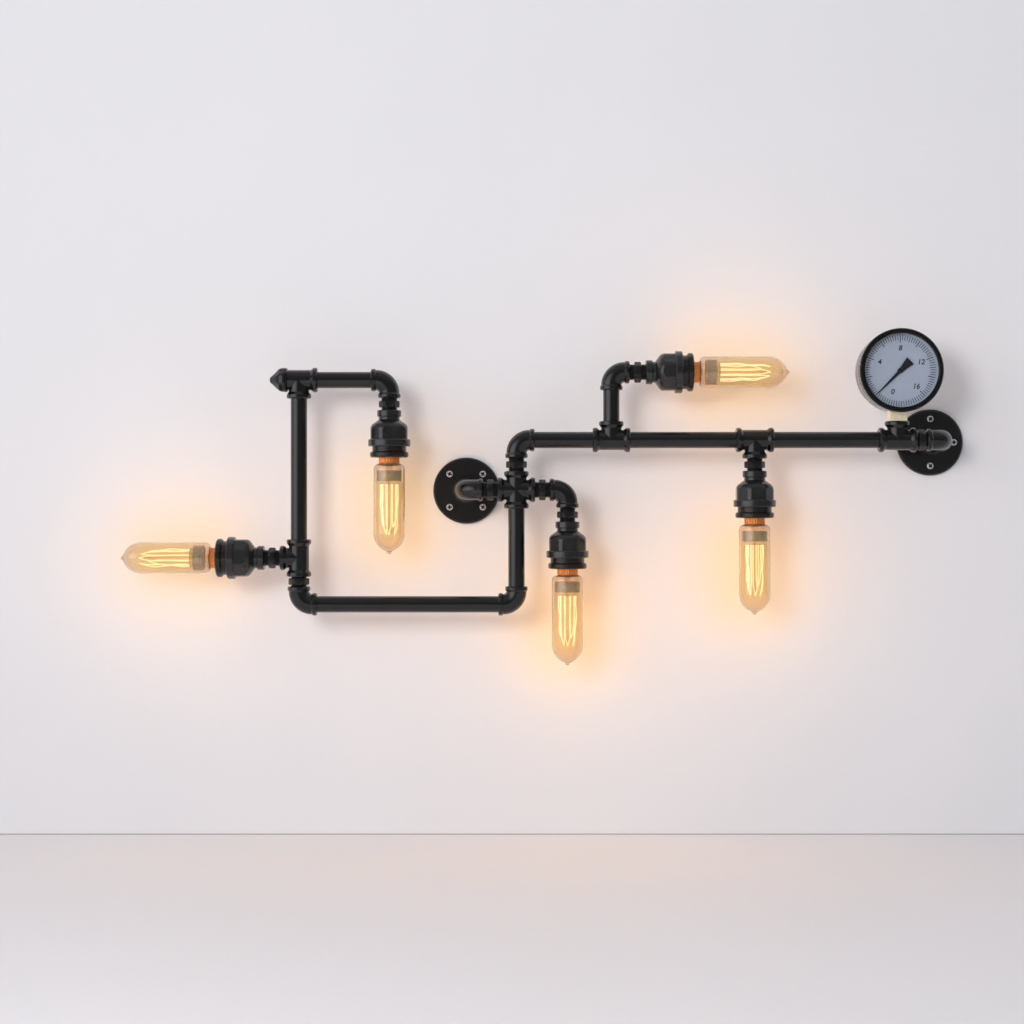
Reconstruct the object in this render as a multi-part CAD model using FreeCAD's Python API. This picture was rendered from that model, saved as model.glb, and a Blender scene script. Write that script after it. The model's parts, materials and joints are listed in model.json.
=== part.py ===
import FreeCAD, Part
import math
import os

from FreeCAD import Placement, Rotation, Vector

# A wall light made of black pipe and cast pipe fittings, with five tubular lamps and a dial gauge.
# Sizes are in millimetres and +Z is up. The wall is the plane y = 0, the light stands out from it
# towards -Y, and +X is to the right of someone who faces it. The origin is the centre of the left
# flange's back face.

LEFT = Vector(-1, 0, 0)
RIGHT = Vector(1, 0, 0)
UP = Vector(0, 0, 1)
DOWN = Vector(0, 0, -1)
FRONT = Vector(0, -1, 0)
BACK = Vector(0, 1, 0)
ORIGIN = Vector(0, 0, 0)

# Pipe and its screwed joints
PIPE_DIAMETER = 21.3
PIPE_BORE = 16.0
THREAD_DEPTH = 12.0
THREAD_CLEARANCE = 0.1
AXIS_FROM_WALL = 90.0

# Cast elbows: centre to mouth, body, and the bead round each mouth
ELBOW_REACH = 23.5
ELBOW_BODY_DIAMETER = 26.6
ELBOW_BEAD_DIAMETER = 29.4
ELBOW_BEAD_WIDTH = 6.5
ELBOW_BEAD_SLOPE = 1.6

# Cast tees and the cross
TEE_REACH = 24.3
TEE_BODY_DIAMETER = 26.4
TEE_BEAD_DIAMETER = 32.0
TEE_BEAD_WIDTH = 8.6
TEE_BEAD_SLOPE = 3.6
BEAD_LIP = 1.3
STOPPED_ARM_REACH = 17.0
STOPPED_ARM_BEAD_WIDTH = 2.8
STOPPED_ARM_BEAD_SLOPE = 1.2

# The faceted cap that stops the top left tee
END_CAP_LENGTH = 20.8
END_CAP_BASE_DIAMETER = 32.0
END_CAP_EDGE = 3.0
END_CAP_SHOULDER_RADIUS = 12.0
END_CAP_SHOULDER_HEIGHT = 11.2
END_CAP_SHOULDER_BULGE = 1.2
END_CAP_NOSE_RADIUS = 5.0
END_CAP_NOSE_HEIGHT = 2.4
END_CAP_SIDES = 8
END_CAP_FLAT_DEPTH = 0.5

# Hexagon nipples
HEX_FLATS = 24.4
HEX_CORNERS = 27.2
HEX_WIDTH = 8.6
HEX_CHAMFER = 1.1
NIPPLE_THREAD_DIAMETER = 21.0

# What shows of each pipe and nipple between the two fittings that it joins
FLANGE_TO_CROSS_SHOW = 19.5
CROSS_TO_TOP_SHOW = 17.0
CROSS_TO_LAMP_3_SHOW = 18.5
MIDDLE_UPRIGHT_SHOW = 101.0
BOTTOM_PIPE_SHOW = 235.8
LOWER_LEFT_SHOW = 12.5
LEFT_UPRIGHT_SHOW = 182.6
TOP_LEFT_PIPE_SHOW = 69.6
LONG_LEFT_SHOW = 75.5
LONG_MIDDLE_SHOW = 137.8
LONG_RIGHT_SHOW = 136.7
RISER_SHOW = 40.3
GAUGE_TO_FLANGE_SHOW = 13.6
LAMP_NIPPLE_SHOW = {1: 20.6, 2: 15.8, 3: 17.7, 4: 21.2, 5: 15.8}

# Wall flanges and the screws that hold them
FLANGE_DIAMETER = 89.0
FLANGE_THICKNESS = 6.0
FLANGE_RIM_CHAMFER = 2.0
FLANGE_DEPTH = 18.0
HUB_ROOT_DIAMETER = 37.0
HUB_TOP_DIAMETER = 32.0
HUB_CHAMFER = 1.2
SCREW_CIRCLE = 63.0
SCREW_COUNT = 4
SCREW_HOLE_DIAMETER = 5.5
LEFT_SCREW_ANGLE = 45.0
RIGHT_SCREW_ANGLE = 0.0
NIPPLE_SETBACK = 1.0
SCREW_HEAD_DIAMETER = 9.6
SCREW_HEAD_HEIGHT = 2.8
SCREW_HEAD_EDGE = 1.0
SCREW_HEAD_TOP_DIAMETER = 5.4
SCREW_NECK_DIAMETER = 4.0
SCREW_THREAD_DIAMETER = 4.6
SCREW_THREAD_LENGTH = 27.0
SCREW_POINT_LENGTH = 5.0

# Bell reducers, from the small mouth to the large one
REDUCER_LENGTH = 47.0
SMALL_BAND_DIAMETER = 31.4
SMALL_BAND_WIDTH = 8.6
REDUCER_NECK_DIAMETER = 27.4
REDUCER_NECK_WIDTH = 3.6
BELL_DIAMETER = 50.0
BELL_FLATS = 47.8
BELL_SIDES = 8
BELL_SHOULDER_HEIGHT = 14.0
BELL_SHOULDER_RADIUS = 12.0
LARGE_BAND_DIAMETER = 55.0
LARGE_BAND_WIDTH = 9.2
BAND_CHAMFER = 0.9
REDUCER_WALL = 4.0
REDUCER_STEP = 3.0

# Lampholders: skirt, insulating core, screw shell and centre contact
SKIRT_SHOW = 14.3
SKIRT_DEPTH = 18.0
SKIRT_THREAD_DIAMETER = 44.0
SKIRT_BORE = 34.0
SKIRT_RIM_DIAMETER = 50.0
SKIRT_RIM_WIDTH = 7.4
SKIRT_RIM_CHAMFER = 1.5
SKIRT_LEDGE_WIDTH = 2.0
SKIRT_LEDGE_BORE = 26.0
CORE_THICKNESS = 8.3
CORE_WIRE_HOLE_DIAMETER = 3.6
CORE_WIRE_HOLE_SPACING = 19.0
SCREW_SHELL_BORE = 27.0
SCREW_SHELL_WALL = 0.5
SCREW_SHELL_LENGTH = 19.0
CONTACT_DIAMETER = 9.0
CONTACT_TOP_DIAMETER = 4.0
CONTACT_HEIGHT = 1.1
CONTACT_BASE_HEIGHT = 0.5
SEAT_CLEARANCE = 0.1
RUNNING_GAP = 0.35

# Lamps: screw cap, glass envelope and filament mount
CAP_SHOW = 8.2
CAP_COLLAR_DIAMETER = 27.0
CAP_COLLAR_INSIDE = 1.0
CAP_WALL = 0.6
CAP_TAPER_HEIGHT = 4.0
CAP_TIP_DIAMETER = 9.6
CAP_TIP_HEIGHT = 1.0
CAP_SHOULDER_DIAMETER = 23.0
GLASS_DIAMETER = 41.0
GLASS_WALL = 1.0
GLASS_LENGTH = 125.5
GLASS_SHOULDER = 7.2
GLASS_NECK_DEPTH = 6.0
GLASS_DOME_HEIGHT = 24.5
GLASS_TIP_RADIUS = 3.2
STEM_FLARE_THICKNESS = 1.0
STEM_DIAMETER = 8.0
COLLAR_START = 18.0
COLLAR_LENGTH = 13.0
COLLAR_DIAMETER = 36.0
COLLAR_WALL = 0.8
SPACER_START = 33.5
SPACER_THICKNESS = 1.2
SPACER_DIAMETER = 25.6
ROD_DIAMETER = 2.4
FILAMENT_WIDTH = 0.8
FILAMENT_LOOPS = 5
FILAMENT_TOP_DIAMETER = 23.0
FILAMENT_FOOT_DIAMETER = 16.0
FILAMENT_SHORT_END = 91.0
FILAMENT_LONG_END = 101.0
FOOT_WIRE_WIDTH = 0.6
FOOT_HUB_DIAMETER = 4.0
FOOT_HUB_LENGTH = 12.0

# Dial gauge: stem, case, bezel, window and dial
STEM_SQUARE = 21.8
STEM_SQUARE_SHOW = 12.4
STEM_NECK_DIAMETER = 14.0
STEM_PORT_DIAMETER = 4.0
BLOCK_WIDTH = 16.0
BLOCK_DEPTH = 12.0
BLOCK_HEIGHT = 18.0
CASE_DIAMETER = 104.0
CASE_WALL = 1.5
CASE_BEHIND_STEM = 14.0
CASE_DEPTH = 40.5
BEZEL_WALL = 2.0
BEZEL_COVER = 4.6
BEZEL_LIP = 2.6
BEZEL_DEPTH = 14.0
BEZEL_CHAMFER = 1.6
WINDOW_THICKNESS = 2.0
DIAL_THICKNESS = 0.8
DIAL_BELOW_WINDOW = 8.0
DIAL_HOLE_DIAMETER = 4.0
STOP_PIN_DIAMETER = 1.0
STOP_PIN_HEIGHT = 3.4
STOP_PIN_RADIUS = 28.0
STOP_PIN_GAP = 0.3

# Needle
NEEDLE_ZERO_ANGLE = 225.0
NEEDLE_LENGTH = 41.0
NEEDLE_TAIL = 18.0
NEEDLE_THICKNESS = 0.6
NEEDLE_TIP_WIDTH = 0.8
NEEDLE_ROOT_WIDTH = 3.4
NEEDLE_TAIL_SPREAD = 34.0
NEEDLE_HUB_DIAMETER = 8.0
NEEDLE_HUB_HEIGHT = 2.8
NEEDLE_ABOVE_DIAL = 0.6

# Movement: two plates, a toothed sector and a pinion, moved by a curved pressure tube
GEAR_MODULE = 0.5
PINION_TEETH = 12
SECTOR_TEETH = 84
SECTOR_CUT_TEETH = 13
SECTOR_TEETH_AFTER_CONTACT = 2
TOOTH_ADDENDUM = 0.45
TOOTH_DEDENDUM = 0.60
TOOTH_ROOT_WIDTH = 0.76
TOOTH_TIP_WIDTH = 0.28
SECTOR_DIRECTION = 240.0
SECTOR_THICKNESS = 2.0
SECTOR_HUB_DIAMETER = 6.0
SECTOR_HUB_WIDTH = 4.0
SECTOR_TAIL_ANGLE = 200.0
SECTOR_TAIL_LENGTH = 9.0
SECTOR_TAIL_WIDTH = 3.0
PINION_WIDTH = 5.0
ARBOR_DIAMETER = 2.0
ARBOR_CLEARANCE = 0.05
ARBOR_END = 0.5
PLATE_THICKNESS = 1.2
PLATE_LEFT = 17.0
PLATE_RIGHT = 9.5
PLATE_TOP = 8.0
PLATE_OVER_BLOCK = 13.6
PILLAR_DIAMETER = 3.4
PILLAR_INSET = 2.6
PILLAR_ABOVE_BLOCK = 4.4
TUBE_FROM_CASE = 14.0
TUBE_SECTION_DEPTH = 10.0
TUBE_SECTION_WIDTH = 4.0
TUBE_EDGE = 1.2
TUBE_START_ANGLE = -80.0
TUBE_END_ANGLE = 190.0
TUBE_PLUG_LENGTH = 5.0
TUBE_PLUG_WIDTH = 5.6
LINK_WIDTH = 2.4
LINK_THICKNESS = 1.0
LINK_GAP = 0.4

# Cutting tools run this far past the faces that they open
CUT_PAST = 1.0


def placed(shape, place, direction, face=FRONT):
    """A copy of shape at place, its +Z turned to direction and its +X to face."""
    turn = Rotation(face, direction.cross(face), direction, "ZXY")
    copy = shape.copy()
    copy.Placement = Placement(place, turn).multiply(copy.Placement)
    return copy


def joined(shapes):
    """One shape from several that touch or overlap."""
    return shapes[0].multiFuse(shapes[1:]).removeSplitter()


def turned(steps):
    """A solid turned about Z from (radius, height) steps; two in one step are an arc's middle and end."""
    start = Vector(steps[0][0], 0, steps[0][1])
    here = start
    edges = []
    for step in steps[1:]:
        if isinstance(step[0], tuple):
            middle = Vector(step[0][0], 0, step[0][1])
            end = Vector(step[1][0], 0, step[1][1])
            edges.append(Part.Arc(here, middle, end).toShape())
        else:
            end = Vector(step[0], 0, step[1])
            edges.append(Part.makeLine(here, end))
        here = end
    edges.append(Part.makeLine(here, start))
    return Part.Face(Part.Wire(edges)).revolve(ORIGIN, UP, 360)


def disc(diameter, low, high):
    """A round solid about Z between two heights."""
    return Part.makeCylinder(diameter / 2, high - low, Vector(0, 0, low), UP)


def tube(diameter, bore, low, high):
    """A round solid about Z with a bore through it."""
    return disc(diameter, low, high).cut(disc(bore, low - CUT_PAST, high + CUT_PAST))


def block(width, depth, low, high):
    """A rectangular solid centred on Z: width along X, depth along Y."""
    return Part.makeBox(width, depth, high - low, Vector(-width / 2, -depth / 2, low))


def polygon(sides, across_flats, height):
    """A regular polygon's wire at a height, with a flat towards +X."""
    corner = across_flats / 2 / math.cos(math.pi / sides)
    corners = []
    for index in range(sides + 1):
        angle = math.radians(360 / sides * (index + 0.5))
        corners.append(Vector(corner * math.cos(angle), corner * math.sin(angle), height))
    return Part.makePolygon(corners)


def prism(sides, across_flats, low, high):
    """A regular prism about Z between two heights."""
    return Part.Face(polygon(sides, across_flats, low)).extrude(Vector(0, 0, high - low))


def flat_solid(corners, low, high):
    """A solid between two heights with the given (x, y) corners."""
    points = [Vector(x, y, low) for x, y in corners]
    return Part.Face(Part.makePolygon(points + points[:1])).extrude(Vector(0, 0, high - low))


def on_circle(radius, degrees, centre=(0, 0)):
    """The point at an angle on a circle."""
    angle = math.radians(degrees)
    return centre[0] + radius * math.cos(angle), centre[1] + radius * math.sin(angle)


def bead(reach, body_diameter, bead_diameter, width, slope):
    """The thick end of a cast arm that points along +Z and ends at reach."""
    root = reach - width
    return turned([
        (0, root),
        (body_diameter / 2, root),
        (bead_diameter / 2, root + slope),
        (bead_diameter / 2, reach - BEAD_LIP),
        (bead_diameter / 2 - BEAD_LIP, reach),
        (0, reach),
    ])


def socket(reach):
    """The threaded socket in an arm that points along +Z."""
    return disc(PIPE_DIAMETER + 2 * THREAD_CLEARANCE, reach - THREAD_DEPTH, reach + CUT_PAST)


def tee_arm(reach, width, slope):
    """The outside of one arm of a tee or cross, from the centre to its mouth."""
    body = disc(TEE_BODY_DIAMETER, 0, reach - width)
    return body.fuse(bead(reach, TEE_BODY_DIAMETER, TEE_BEAD_DIAMETER, width, slope))


def tee_room(reach):
    """The room inside one arm: the socket and the way to the centre."""
    return disc(PIPE_BORE, 0, reach - THREAD_DEPTH + CUT_PAST).fuse(socket(reach))


def branched_fitting(directions, stopped=None):
    """A tee or cross about the origin, an arm along each direction. A stopped arm is short, its bead thin."""
    outside = []
    room = []
    for direction in directions:
        reach = STOPPED_ARM_REACH if direction == stopped else TEE_REACH
        width = STOPPED_ARM_BEAD_WIDTH if direction == stopped else TEE_BEAD_WIDTH
        slope = STOPPED_ARM_BEAD_SLOPE if direction == stopped else TEE_BEAD_SLOPE
        outside.append(placed(tee_arm(reach, width, slope), ORIGIN, direction))
        room.append(placed(tee_room(reach), ORIGIN, direction))
    return joined(outside).cut(joined(room))


def quarter_bend(diameter, reach):
    """A quarter of a ring from height reach on the Z axis round to distance reach on the X axis."""
    section = Part.Face(Part.Wire(Part.makeCircle(diameter / 2, Vector(0, 0, reach), UP)))
    return section.revolve(Vector(reach, 0, reach), FRONT, 90)


def elbow(place, first, second):
    """A cast elbow whose mouths point along first and second."""
    mouth = bead(ELBOW_REACH, ELBOW_BODY_DIAMETER, ELBOW_BEAD_DIAMETER, ELBOW_BEAD_WIDTH, ELBOW_BEAD_SLOPE)
    outside = quarter_bend(ELBOW_BODY_DIAMETER, ELBOW_REACH - ELBOW_BEAD_WIDTH)
    room = quarter_bend(PIPE_BORE, ELBOW_REACH - THREAD_DEPTH)
    for direction, face in ((UP, RIGHT), (RIGHT, UP)):
        outside = outside.fuse(placed(mouth, ORIGIN, direction, face))
        room = room.fuse(placed(socket(ELBOW_REACH), ORIGIN, direction, face))
    return placed(outside.removeSplitter().cut(room), place, first, second)


def straight_pipe(start, direction, show):
    """A pipe that shows between the mouth at start and the next, and is screwed into both."""
    return placed(tube(PIPE_DIAMETER, PIPE_BORE, -THREAD_DEPTH, show + THREAD_DEPTH), start, direction)


def hex_nipple(start, direction, show):
    """A hexagon nipple between the mouth at start and the next, the hexagon midway."""
    low = (show - HEX_WIDTH) / 2
    high = low + HEX_WIDTH
    round_off = turned([
        (0, low),
        (HEX_CORNERS / 2 - HEX_CHAMFER, low),
        (HEX_CORNERS / 2, low + HEX_CHAMFER),
        (HEX_CORNERS / 2, high - HEX_CHAMFER),
        (HEX_CORNERS / 2 - HEX_CHAMFER, high),
        (0, high),
    ])
    hexagon = prism(6, HEX_FLATS, low, high).common(round_off)
    thread = disc(NIPPLE_THREAD_DIAMETER, -THREAD_DEPTH, show + THREAD_DEPTH)
    bore = disc(PIPE_BORE, -THREAD_DEPTH - CUT_PAST, show + THREAD_DEPTH + CUT_PAST)
    return placed(hexagon.fuse(thread).cut(bore), start, direction)


def bowed(start, end, bulge):
    """An arc step for turned: from start to end, with its middle pushed out by bulge."""
    run = (end[0] - start[0], end[1] - start[1])
    share = bulge / math.hypot(*run)
    middle = ((start[0] + end[0]) / 2 + run[1] * share, (start[1] + end[1]) / 2 - run[0] * share)
    return middle, end


def end_cap(mouth, direction):
    """The faceted, blunt-nosed cap that stops an arm, with its thread inside the arm."""
    edge = (END_CAP_BASE_DIAMETER / 2, END_CAP_EDGE)
    shoulder = (END_CAP_SHOULDER_RADIUS, END_CAP_SHOULDER_HEIGHT)
    nose = (END_CAP_NOSE_RADIUS, END_CAP_LENGTH - END_CAP_NOSE_HEIGHT)
    half = math.sqrt(0.5)
    bulge, shoulder = bowed(edge, shoulder, END_CAP_SHOULDER_BULGE)
    round_outside = turned([
        (0, 0),
        (edge[0], 0),
        edge,
        (bulge, shoulder),
        nose,
        ((nose[0] * half, nose[1] + END_CAP_NOSE_HEIGHT * half), (0, END_CAP_LENGTH)),
    ])
    facets = Part.makeLoft([
        polygon(END_CAP_SIDES, 2 * (radius - END_CAP_FLAT_DEPTH), height)
        for radius, height in ((edge[0], 0), edge, bulge, shoulder, (nose[0], END_CAP_LENGTH))
    ], True, True)
    thread = disc(NIPPLE_THREAD_DIAMETER, -THREAD_DEPTH, 0)
    return placed(round_outside.common(facets).fuse(thread), mouth, direction)


def screw_places(angle):
    """The centres of a flange's screw holes in its own plane."""
    return [on_circle(SCREW_CIRCLE / 2, angle + 360 / SCREW_COUNT * index) for index in range(SCREW_COUNT)]


def flange(place, angle):
    """A round wall flange with a threaded hub, its back face on the wall."""
    outside = turned([
        (0, 0),
        (FLANGE_DIAMETER / 2, 0),
        (FLANGE_DIAMETER / 2, FLANGE_THICKNESS - FLANGE_RIM_CHAMFER),
        (FLANGE_DIAMETER / 2 - FLANGE_RIM_CHAMFER, FLANGE_THICKNESS),
        (HUB_ROOT_DIAMETER / 2, FLANGE_THICKNESS),
        (HUB_TOP_DIAMETER / 2, FLANGE_DEPTH - HUB_CHAMFER),
        (HUB_TOP_DIAMETER / 2 - HUB_CHAMFER, FLANGE_DEPTH),
        (0, FLANGE_DEPTH),
    ])
    openings = [disc(PIPE_DIAMETER, -CUT_PAST, FLANGE_DEPTH + CUT_PAST)]
    for x, y in screw_places(angle):
        hole = disc(SCREW_HOLE_DIAMETER, -CUT_PAST, FLANGE_THICKNESS + CUT_PAST)
        hole.translate(Vector(x, y, 0))
        openings.append(hole)
    return placed(outside.cut(openings), place, FRONT, RIGHT)


def wall_screws(place, angle):
    """A flange's screws: round heads on its face, plain necks in its holes, threads behind it."""
    head = FLANGE_THICKNESS
    screw = turned([
        (0, -SCREW_THREAD_LENGTH - SCREW_POINT_LENGTH),
        (SCREW_THREAD_DIAMETER / 2, -SCREW_THREAD_LENGTH),
        (SCREW_THREAD_DIAMETER / 2, 0),
        (SCREW_NECK_DIAMETER / 2, 0),
        (SCREW_NECK_DIAMETER / 2, head),
        (SCREW_HEAD_DIAMETER / 2, head),
        (SCREW_HEAD_DIAMETER / 2, head + SCREW_HEAD_EDGE),
        (SCREW_HEAD_TOP_DIAMETER / 2, head + SCREW_HEAD_HEIGHT),
        (0, head + SCREW_HEAD_HEIGHT),
    ])
    screws = []
    for x, y in screw_places(angle):
        copy = screw.copy()
        copy.translate(Vector(x, y, 0))
        screws.append(placed(copy, place, FRONT, RIGHT))
    return screws


def flange_nipple(place):
    """The plain nipple from a flange's hub out to the elbow in front of it."""
    length = AXIS_FROM_WALL - ELBOW_REACH + THREAD_DEPTH
    return placed(tube(PIPE_DIAMETER, PIPE_BORE, NIPPLE_SETBACK, length), place, FRONT, RIGHT)


def reducer(start, direction):
    """A bell reducer: a band at each mouth, a neck, and a bell with flats between them."""
    bell_start = SMALL_BAND_WIDTH + REDUCER_NECK_WIDTH
    bell_side = bell_start + BELL_SHOULDER_HEIGHT
    band_start = REDUCER_LENGTH - LARGE_BAND_WIDTH
    neck = REDUCER_NECK_DIAMETER / 2
    side = BELL_DIAMETER / 2
    small = SMALL_BAND_DIAMETER / 2
    large = LARGE_BAND_DIAMETER / 2
    shoulder_centre = (side - BELL_SHOULDER_RADIUS, bell_side)
    shoulder_top = on_circle(BELL_SHOULDER_RADIUS, -45, shoulder_centre)
    shoulder_middle = on_circle(BELL_SHOULDER_RADIUS, -22.5, shoulder_centre)
    bell = turned([(0, bell_start), (neck, bell_start), shoulder_top, (shoulder_middle, (side, bell_side)),
                   (side, band_start), (0, band_start)])
    bell = bell.common(prism(BELL_SIDES, BELL_FLATS, bell_start, band_start))
    ends = turned([
        (0, 0),
        (small - BAND_CHAMFER, 0),
        (small, BAND_CHAMFER),
        (small, SMALL_BAND_WIDTH - BAND_CHAMFER),
        (small - BAND_CHAMFER, SMALL_BAND_WIDTH),
        (neck, SMALL_BAND_WIDTH),
        (neck, band_start),
        (large - BAND_CHAMFER, band_start),
        (large, band_start + BAND_CHAMFER),
        (large, REDUCER_LENGTH - BAND_CHAMFER),
        (large - BAND_CHAMFER, REDUCER_LENGTH),
        (0, REDUCER_LENGTH),
    ])
    thread = PIPE_DIAMETER / 2 + THREAD_CLEARANCE
    way = PIPE_BORE / 2
    chamber = BELL_FLATS / 2 - REDUCER_WALL
    seat = REDUCER_LENGTH - SKIRT_DEPTH
    bore = SKIRT_THREAD_DIAMETER / 2 + THREAD_CLEARANCE
    room = turned([
        (0, -CUT_PAST),
        (thread, -CUT_PAST),
        (thread, THREAD_DEPTH),
        (way, THREAD_DEPTH),
        (way, THREAD_DEPTH + REDUCER_STEP),
        (chamber, seat - REDUCER_STEP),
        (chamber, seat),
        (bore, seat),
        (bore, REDUCER_LENGTH + CUT_PAST),
        (0, REDUCER_LENGTH + CUT_PAST),
    ])
    return placed(bell.fuse(ends).removeSplitter().cut(room), start, direction)


def skirt(rim, direction):
    """The lampholder's skirt, screwed into the reducer and ending in a thick rim."""
    deep = -SKIRT_SHOW - SKIRT_DEPTH
    thread = SKIRT_THREAD_DIAMETER / 2
    edge = SKIRT_RIM_DIAMETER / 2
    outside = turned([
        (SKIRT_LEDGE_BORE / 2, deep),
        (thread, deep),
        (thread, -SKIRT_RIM_WIDTH),
        (edge - SKIRT_RIM_CHAMFER, -SKIRT_RIM_WIDTH),
        (edge, -SKIRT_RIM_WIDTH + SKIRT_RIM_CHAMFER),
        (edge, -SKIRT_RIM_CHAMFER),
        (edge - SKIRT_RIM_CHAMFER, 0),
        (SKIRT_BORE / 2, 0),
        (SKIRT_BORE / 2, deep + SKIRT_LEDGE_WIDTH),
        (SKIRT_LEDGE_BORE / 2, deep + SKIRT_LEDGE_WIDTH),
    ])
    return placed(outside, rim, direction)


def core_face():
    """The height of the core's outer face, measured from the rim."""
    return -SKIRT_SHOW - SKIRT_DEPTH + SKIRT_LEDGE_WIDTH + CORE_THICKNESS


def lampholder_core(rim, direction):
    """The insulating disc that carries the contacts, with two holes for wires."""
    face = core_face()
    core = disc(SKIRT_BORE - 2 * SEAT_CLEARANCE, face - CORE_THICKNESS, face)
    for side in (-1, 1):
        hole = disc(CORE_WIRE_HOLE_DIAMETER, face - CORE_THICKNESS - CUT_PAST, face + CUT_PAST)
        hole.translate(Vector(0, side * CORE_WIRE_HOLE_SPACING / 2, 0))
        core = core.cut(hole)
    return placed(core, rim, direction)


def lampholder_contacts(rim, direction):
    """The screw shell and the centre contact, both standing on the core."""
    face = core_face()
    shell = tube(SCREW_SHELL_BORE + 2 * SCREW_SHELL_WALL, SCREW_SHELL_BORE, face, face + SCREW_SHELL_LENGTH)
    contact = turned([
        (0, face),
        (CONTACT_DIAMETER / 2, face),
        (CONTACT_DIAMETER / 2, face + CONTACT_BASE_HEIGHT),
        (CONTACT_TOP_DIAMETER / 2, face + CONTACT_HEIGHT),
        (0, face + CONTACT_HEIGHT),
    ])
    return [placed(shell, rim, direction), placed(contact, rim, direction)]


def lamp_cap(rim, direction):
    """The lamp's screw cap: a collar round the glass neck, the threaded shell and the end contact."""
    tip = core_face() + CONTACT_HEIGHT + RUNNING_GAP
    taper = tip + CAP_TIP_HEIGHT
    thread_end = taper + CAP_TAPER_HEIGHT
    thread = SCREW_SHELL_BORE / 2 - RUNNING_GAP
    collar = CAP_COLLAR_DIAMETER / 2
    outside = [
        (0, tip),
        (CAP_TIP_DIAMETER / 2, tip),
        (CAP_TIP_DIAMETER / 2, taper),
        (CAP_SHOULDER_DIAMETER / 2, thread_end - CAP_WALL),
        (thread, thread_end),
        (thread, -CAP_COLLAR_INSIDE),
        (collar, -CAP_COLLAR_INSIDE),
        (collar, CAP_SHOW),
    ]
    inside = [
        (thread - CAP_WALL, CAP_SHOW),
        (thread - CAP_WALL, thread_end + CAP_WALL),
        (0, thread_end + CAP_WALL),
    ]
    return placed(turned(outside + inside), rim, direction)


def glass_neck():
    """The outer radius of the glass inside the cap."""
    return SCREW_SHELL_BORE / 2 - RUNNING_GAP - CAP_WALL - SEAT_CLEARANCE


def lamp_glass(rim, direction):
    """The tubular envelope: a neck in the cap, a round shoulder, and a pointed dome with a round tip."""
    neck = glass_neck()
    body = GLASS_DIAMETER / 2
    low = -GLASS_NECK_DEPTH
    shoulder_low = CAP_SHOW
    shoulder = (body - GLASS_SHOULDER, shoulder_low + GLASS_SHOULDER)
    inner = body - GLASS_WALL
    inner_shoulder = GLASS_SHOULDER - GLASS_WALL
    arc = (body ** 2 + GLASS_DOME_HEIGHT ** 2) / (2 * body)
    aside = body - arc
    tip_angle = math.degrees(math.acos((GLASS_TIP_RADIUS - aside) / arc))
    dome = (aside, GLASS_LENGTH - GLASS_TIP_RADIUS - arc * math.sin(math.radians(tip_angle)))
    tip = (0, GLASS_LENGTH - GLASS_TIP_RADIUS)
    inner_arc = arc - GLASS_WALL
    inner_angle = math.degrees(math.acos(-aside / inner_arc))
    envelope = turned([
        (neck - GLASS_WALL, low),
        (neck, low),
        (neck, shoulder_low),
        (shoulder[0], shoulder_low),
        (on_circle(GLASS_SHOULDER, -45, shoulder), (body, shoulder[1])),
        (body, dome[1]),
        (on_circle(arc, tip_angle / 2, dome), on_circle(arc, tip_angle, dome)),
        (on_circle(GLASS_TIP_RADIUS, 45, tip), (0, GLASS_LENGTH)),
        on_circle(inner_arc, inner_angle, dome),
        (on_circle(inner_arc, inner_angle / 2, dome), (inner, dome[1])),
        (inner, shoulder[1]),
        (on_circle(inner_shoulder, -45, shoulder), (shoulder[0], shoulder_low + GLASS_WALL)),
        (neck - GLASS_WALL, shoulder_low + GLASS_WALL),
    ])
    return placed(envelope, rim, direction)


def strand(start, end, width):
    """A thin square wire between two points."""
    run = end - start
    direction = Vector(run).normalize()
    side = direction.cross(UP if abs(direction.z) < 0.9 else RIGHT).normalize()
    return placed(block(width, width, 0, run.Length), start, direction, side)


def filament_mount():
    """Flared stem, collar, spacer and rod, and the filament's loops hung between spacer and foot."""
    flare = -GLASS_NECK_DEPTH - STEM_FLARE_THICKNESS
    spacer_end = SPACER_START + SPACER_THICKNESS
    pieces = [
        disc(2 * glass_neck(), flare, -GLASS_NECK_DEPTH),
        disc(STEM_DIAMETER, -GLASS_NECK_DEPTH, COLLAR_START + COLLAR_WALL),
        disc(ROD_DIAMETER, COLLAR_START, FILAMENT_LONG_END),
        disc(COLLAR_DIAMETER, COLLAR_START, COLLAR_START + COLLAR_WALL),
        tube(COLLAR_DIAMETER, COLLAR_DIAMETER - 2 * COLLAR_WALL, COLLAR_START, COLLAR_START + COLLAR_LENGTH),
        disc(SPACER_DIAMETER, SPACER_START, spacer_end),
        disc(FOOT_HUB_DIAMETER, FILAMENT_LONG_END - FOOT_HUB_LENGTH, FILAMENT_LONG_END),
    ]
    for loop in range(FILAMENT_LOOPS):
        middle = 360 / FILAMENT_LOOPS * loop
        foot_height = FILAMENT_SHORT_END if loop % 2 else FILAMENT_LONG_END - FOOT_WIRE_WIDTH
        foot_x, foot_y = on_circle(FILAMENT_FOOT_DIAMETER / 2, middle)
        foot = Vector(foot_x, foot_y, foot_height)
        for side in (-0.25, 0.25):
            top_x, top_y = on_circle(FILAMENT_TOP_DIAMETER / 2, middle + side * 360 / FILAMENT_LOOPS)
            pieces.append(strand(Vector(top_x, top_y, spacer_end - FILAMENT_WIDTH), foot, FILAMENT_WIDTH))
        pieces.append(strand(Vector(0, 0, foot_height), foot, FOOT_WIRE_WIDTH))
    return joined(pieces)


def round_about_needle(shape, centre):
    """A solid drawn about Z as the gauge is seen from the front, placed with the dial's centre at centre."""
    return placed(shape, centre, FRONT, RIGHT)


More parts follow.
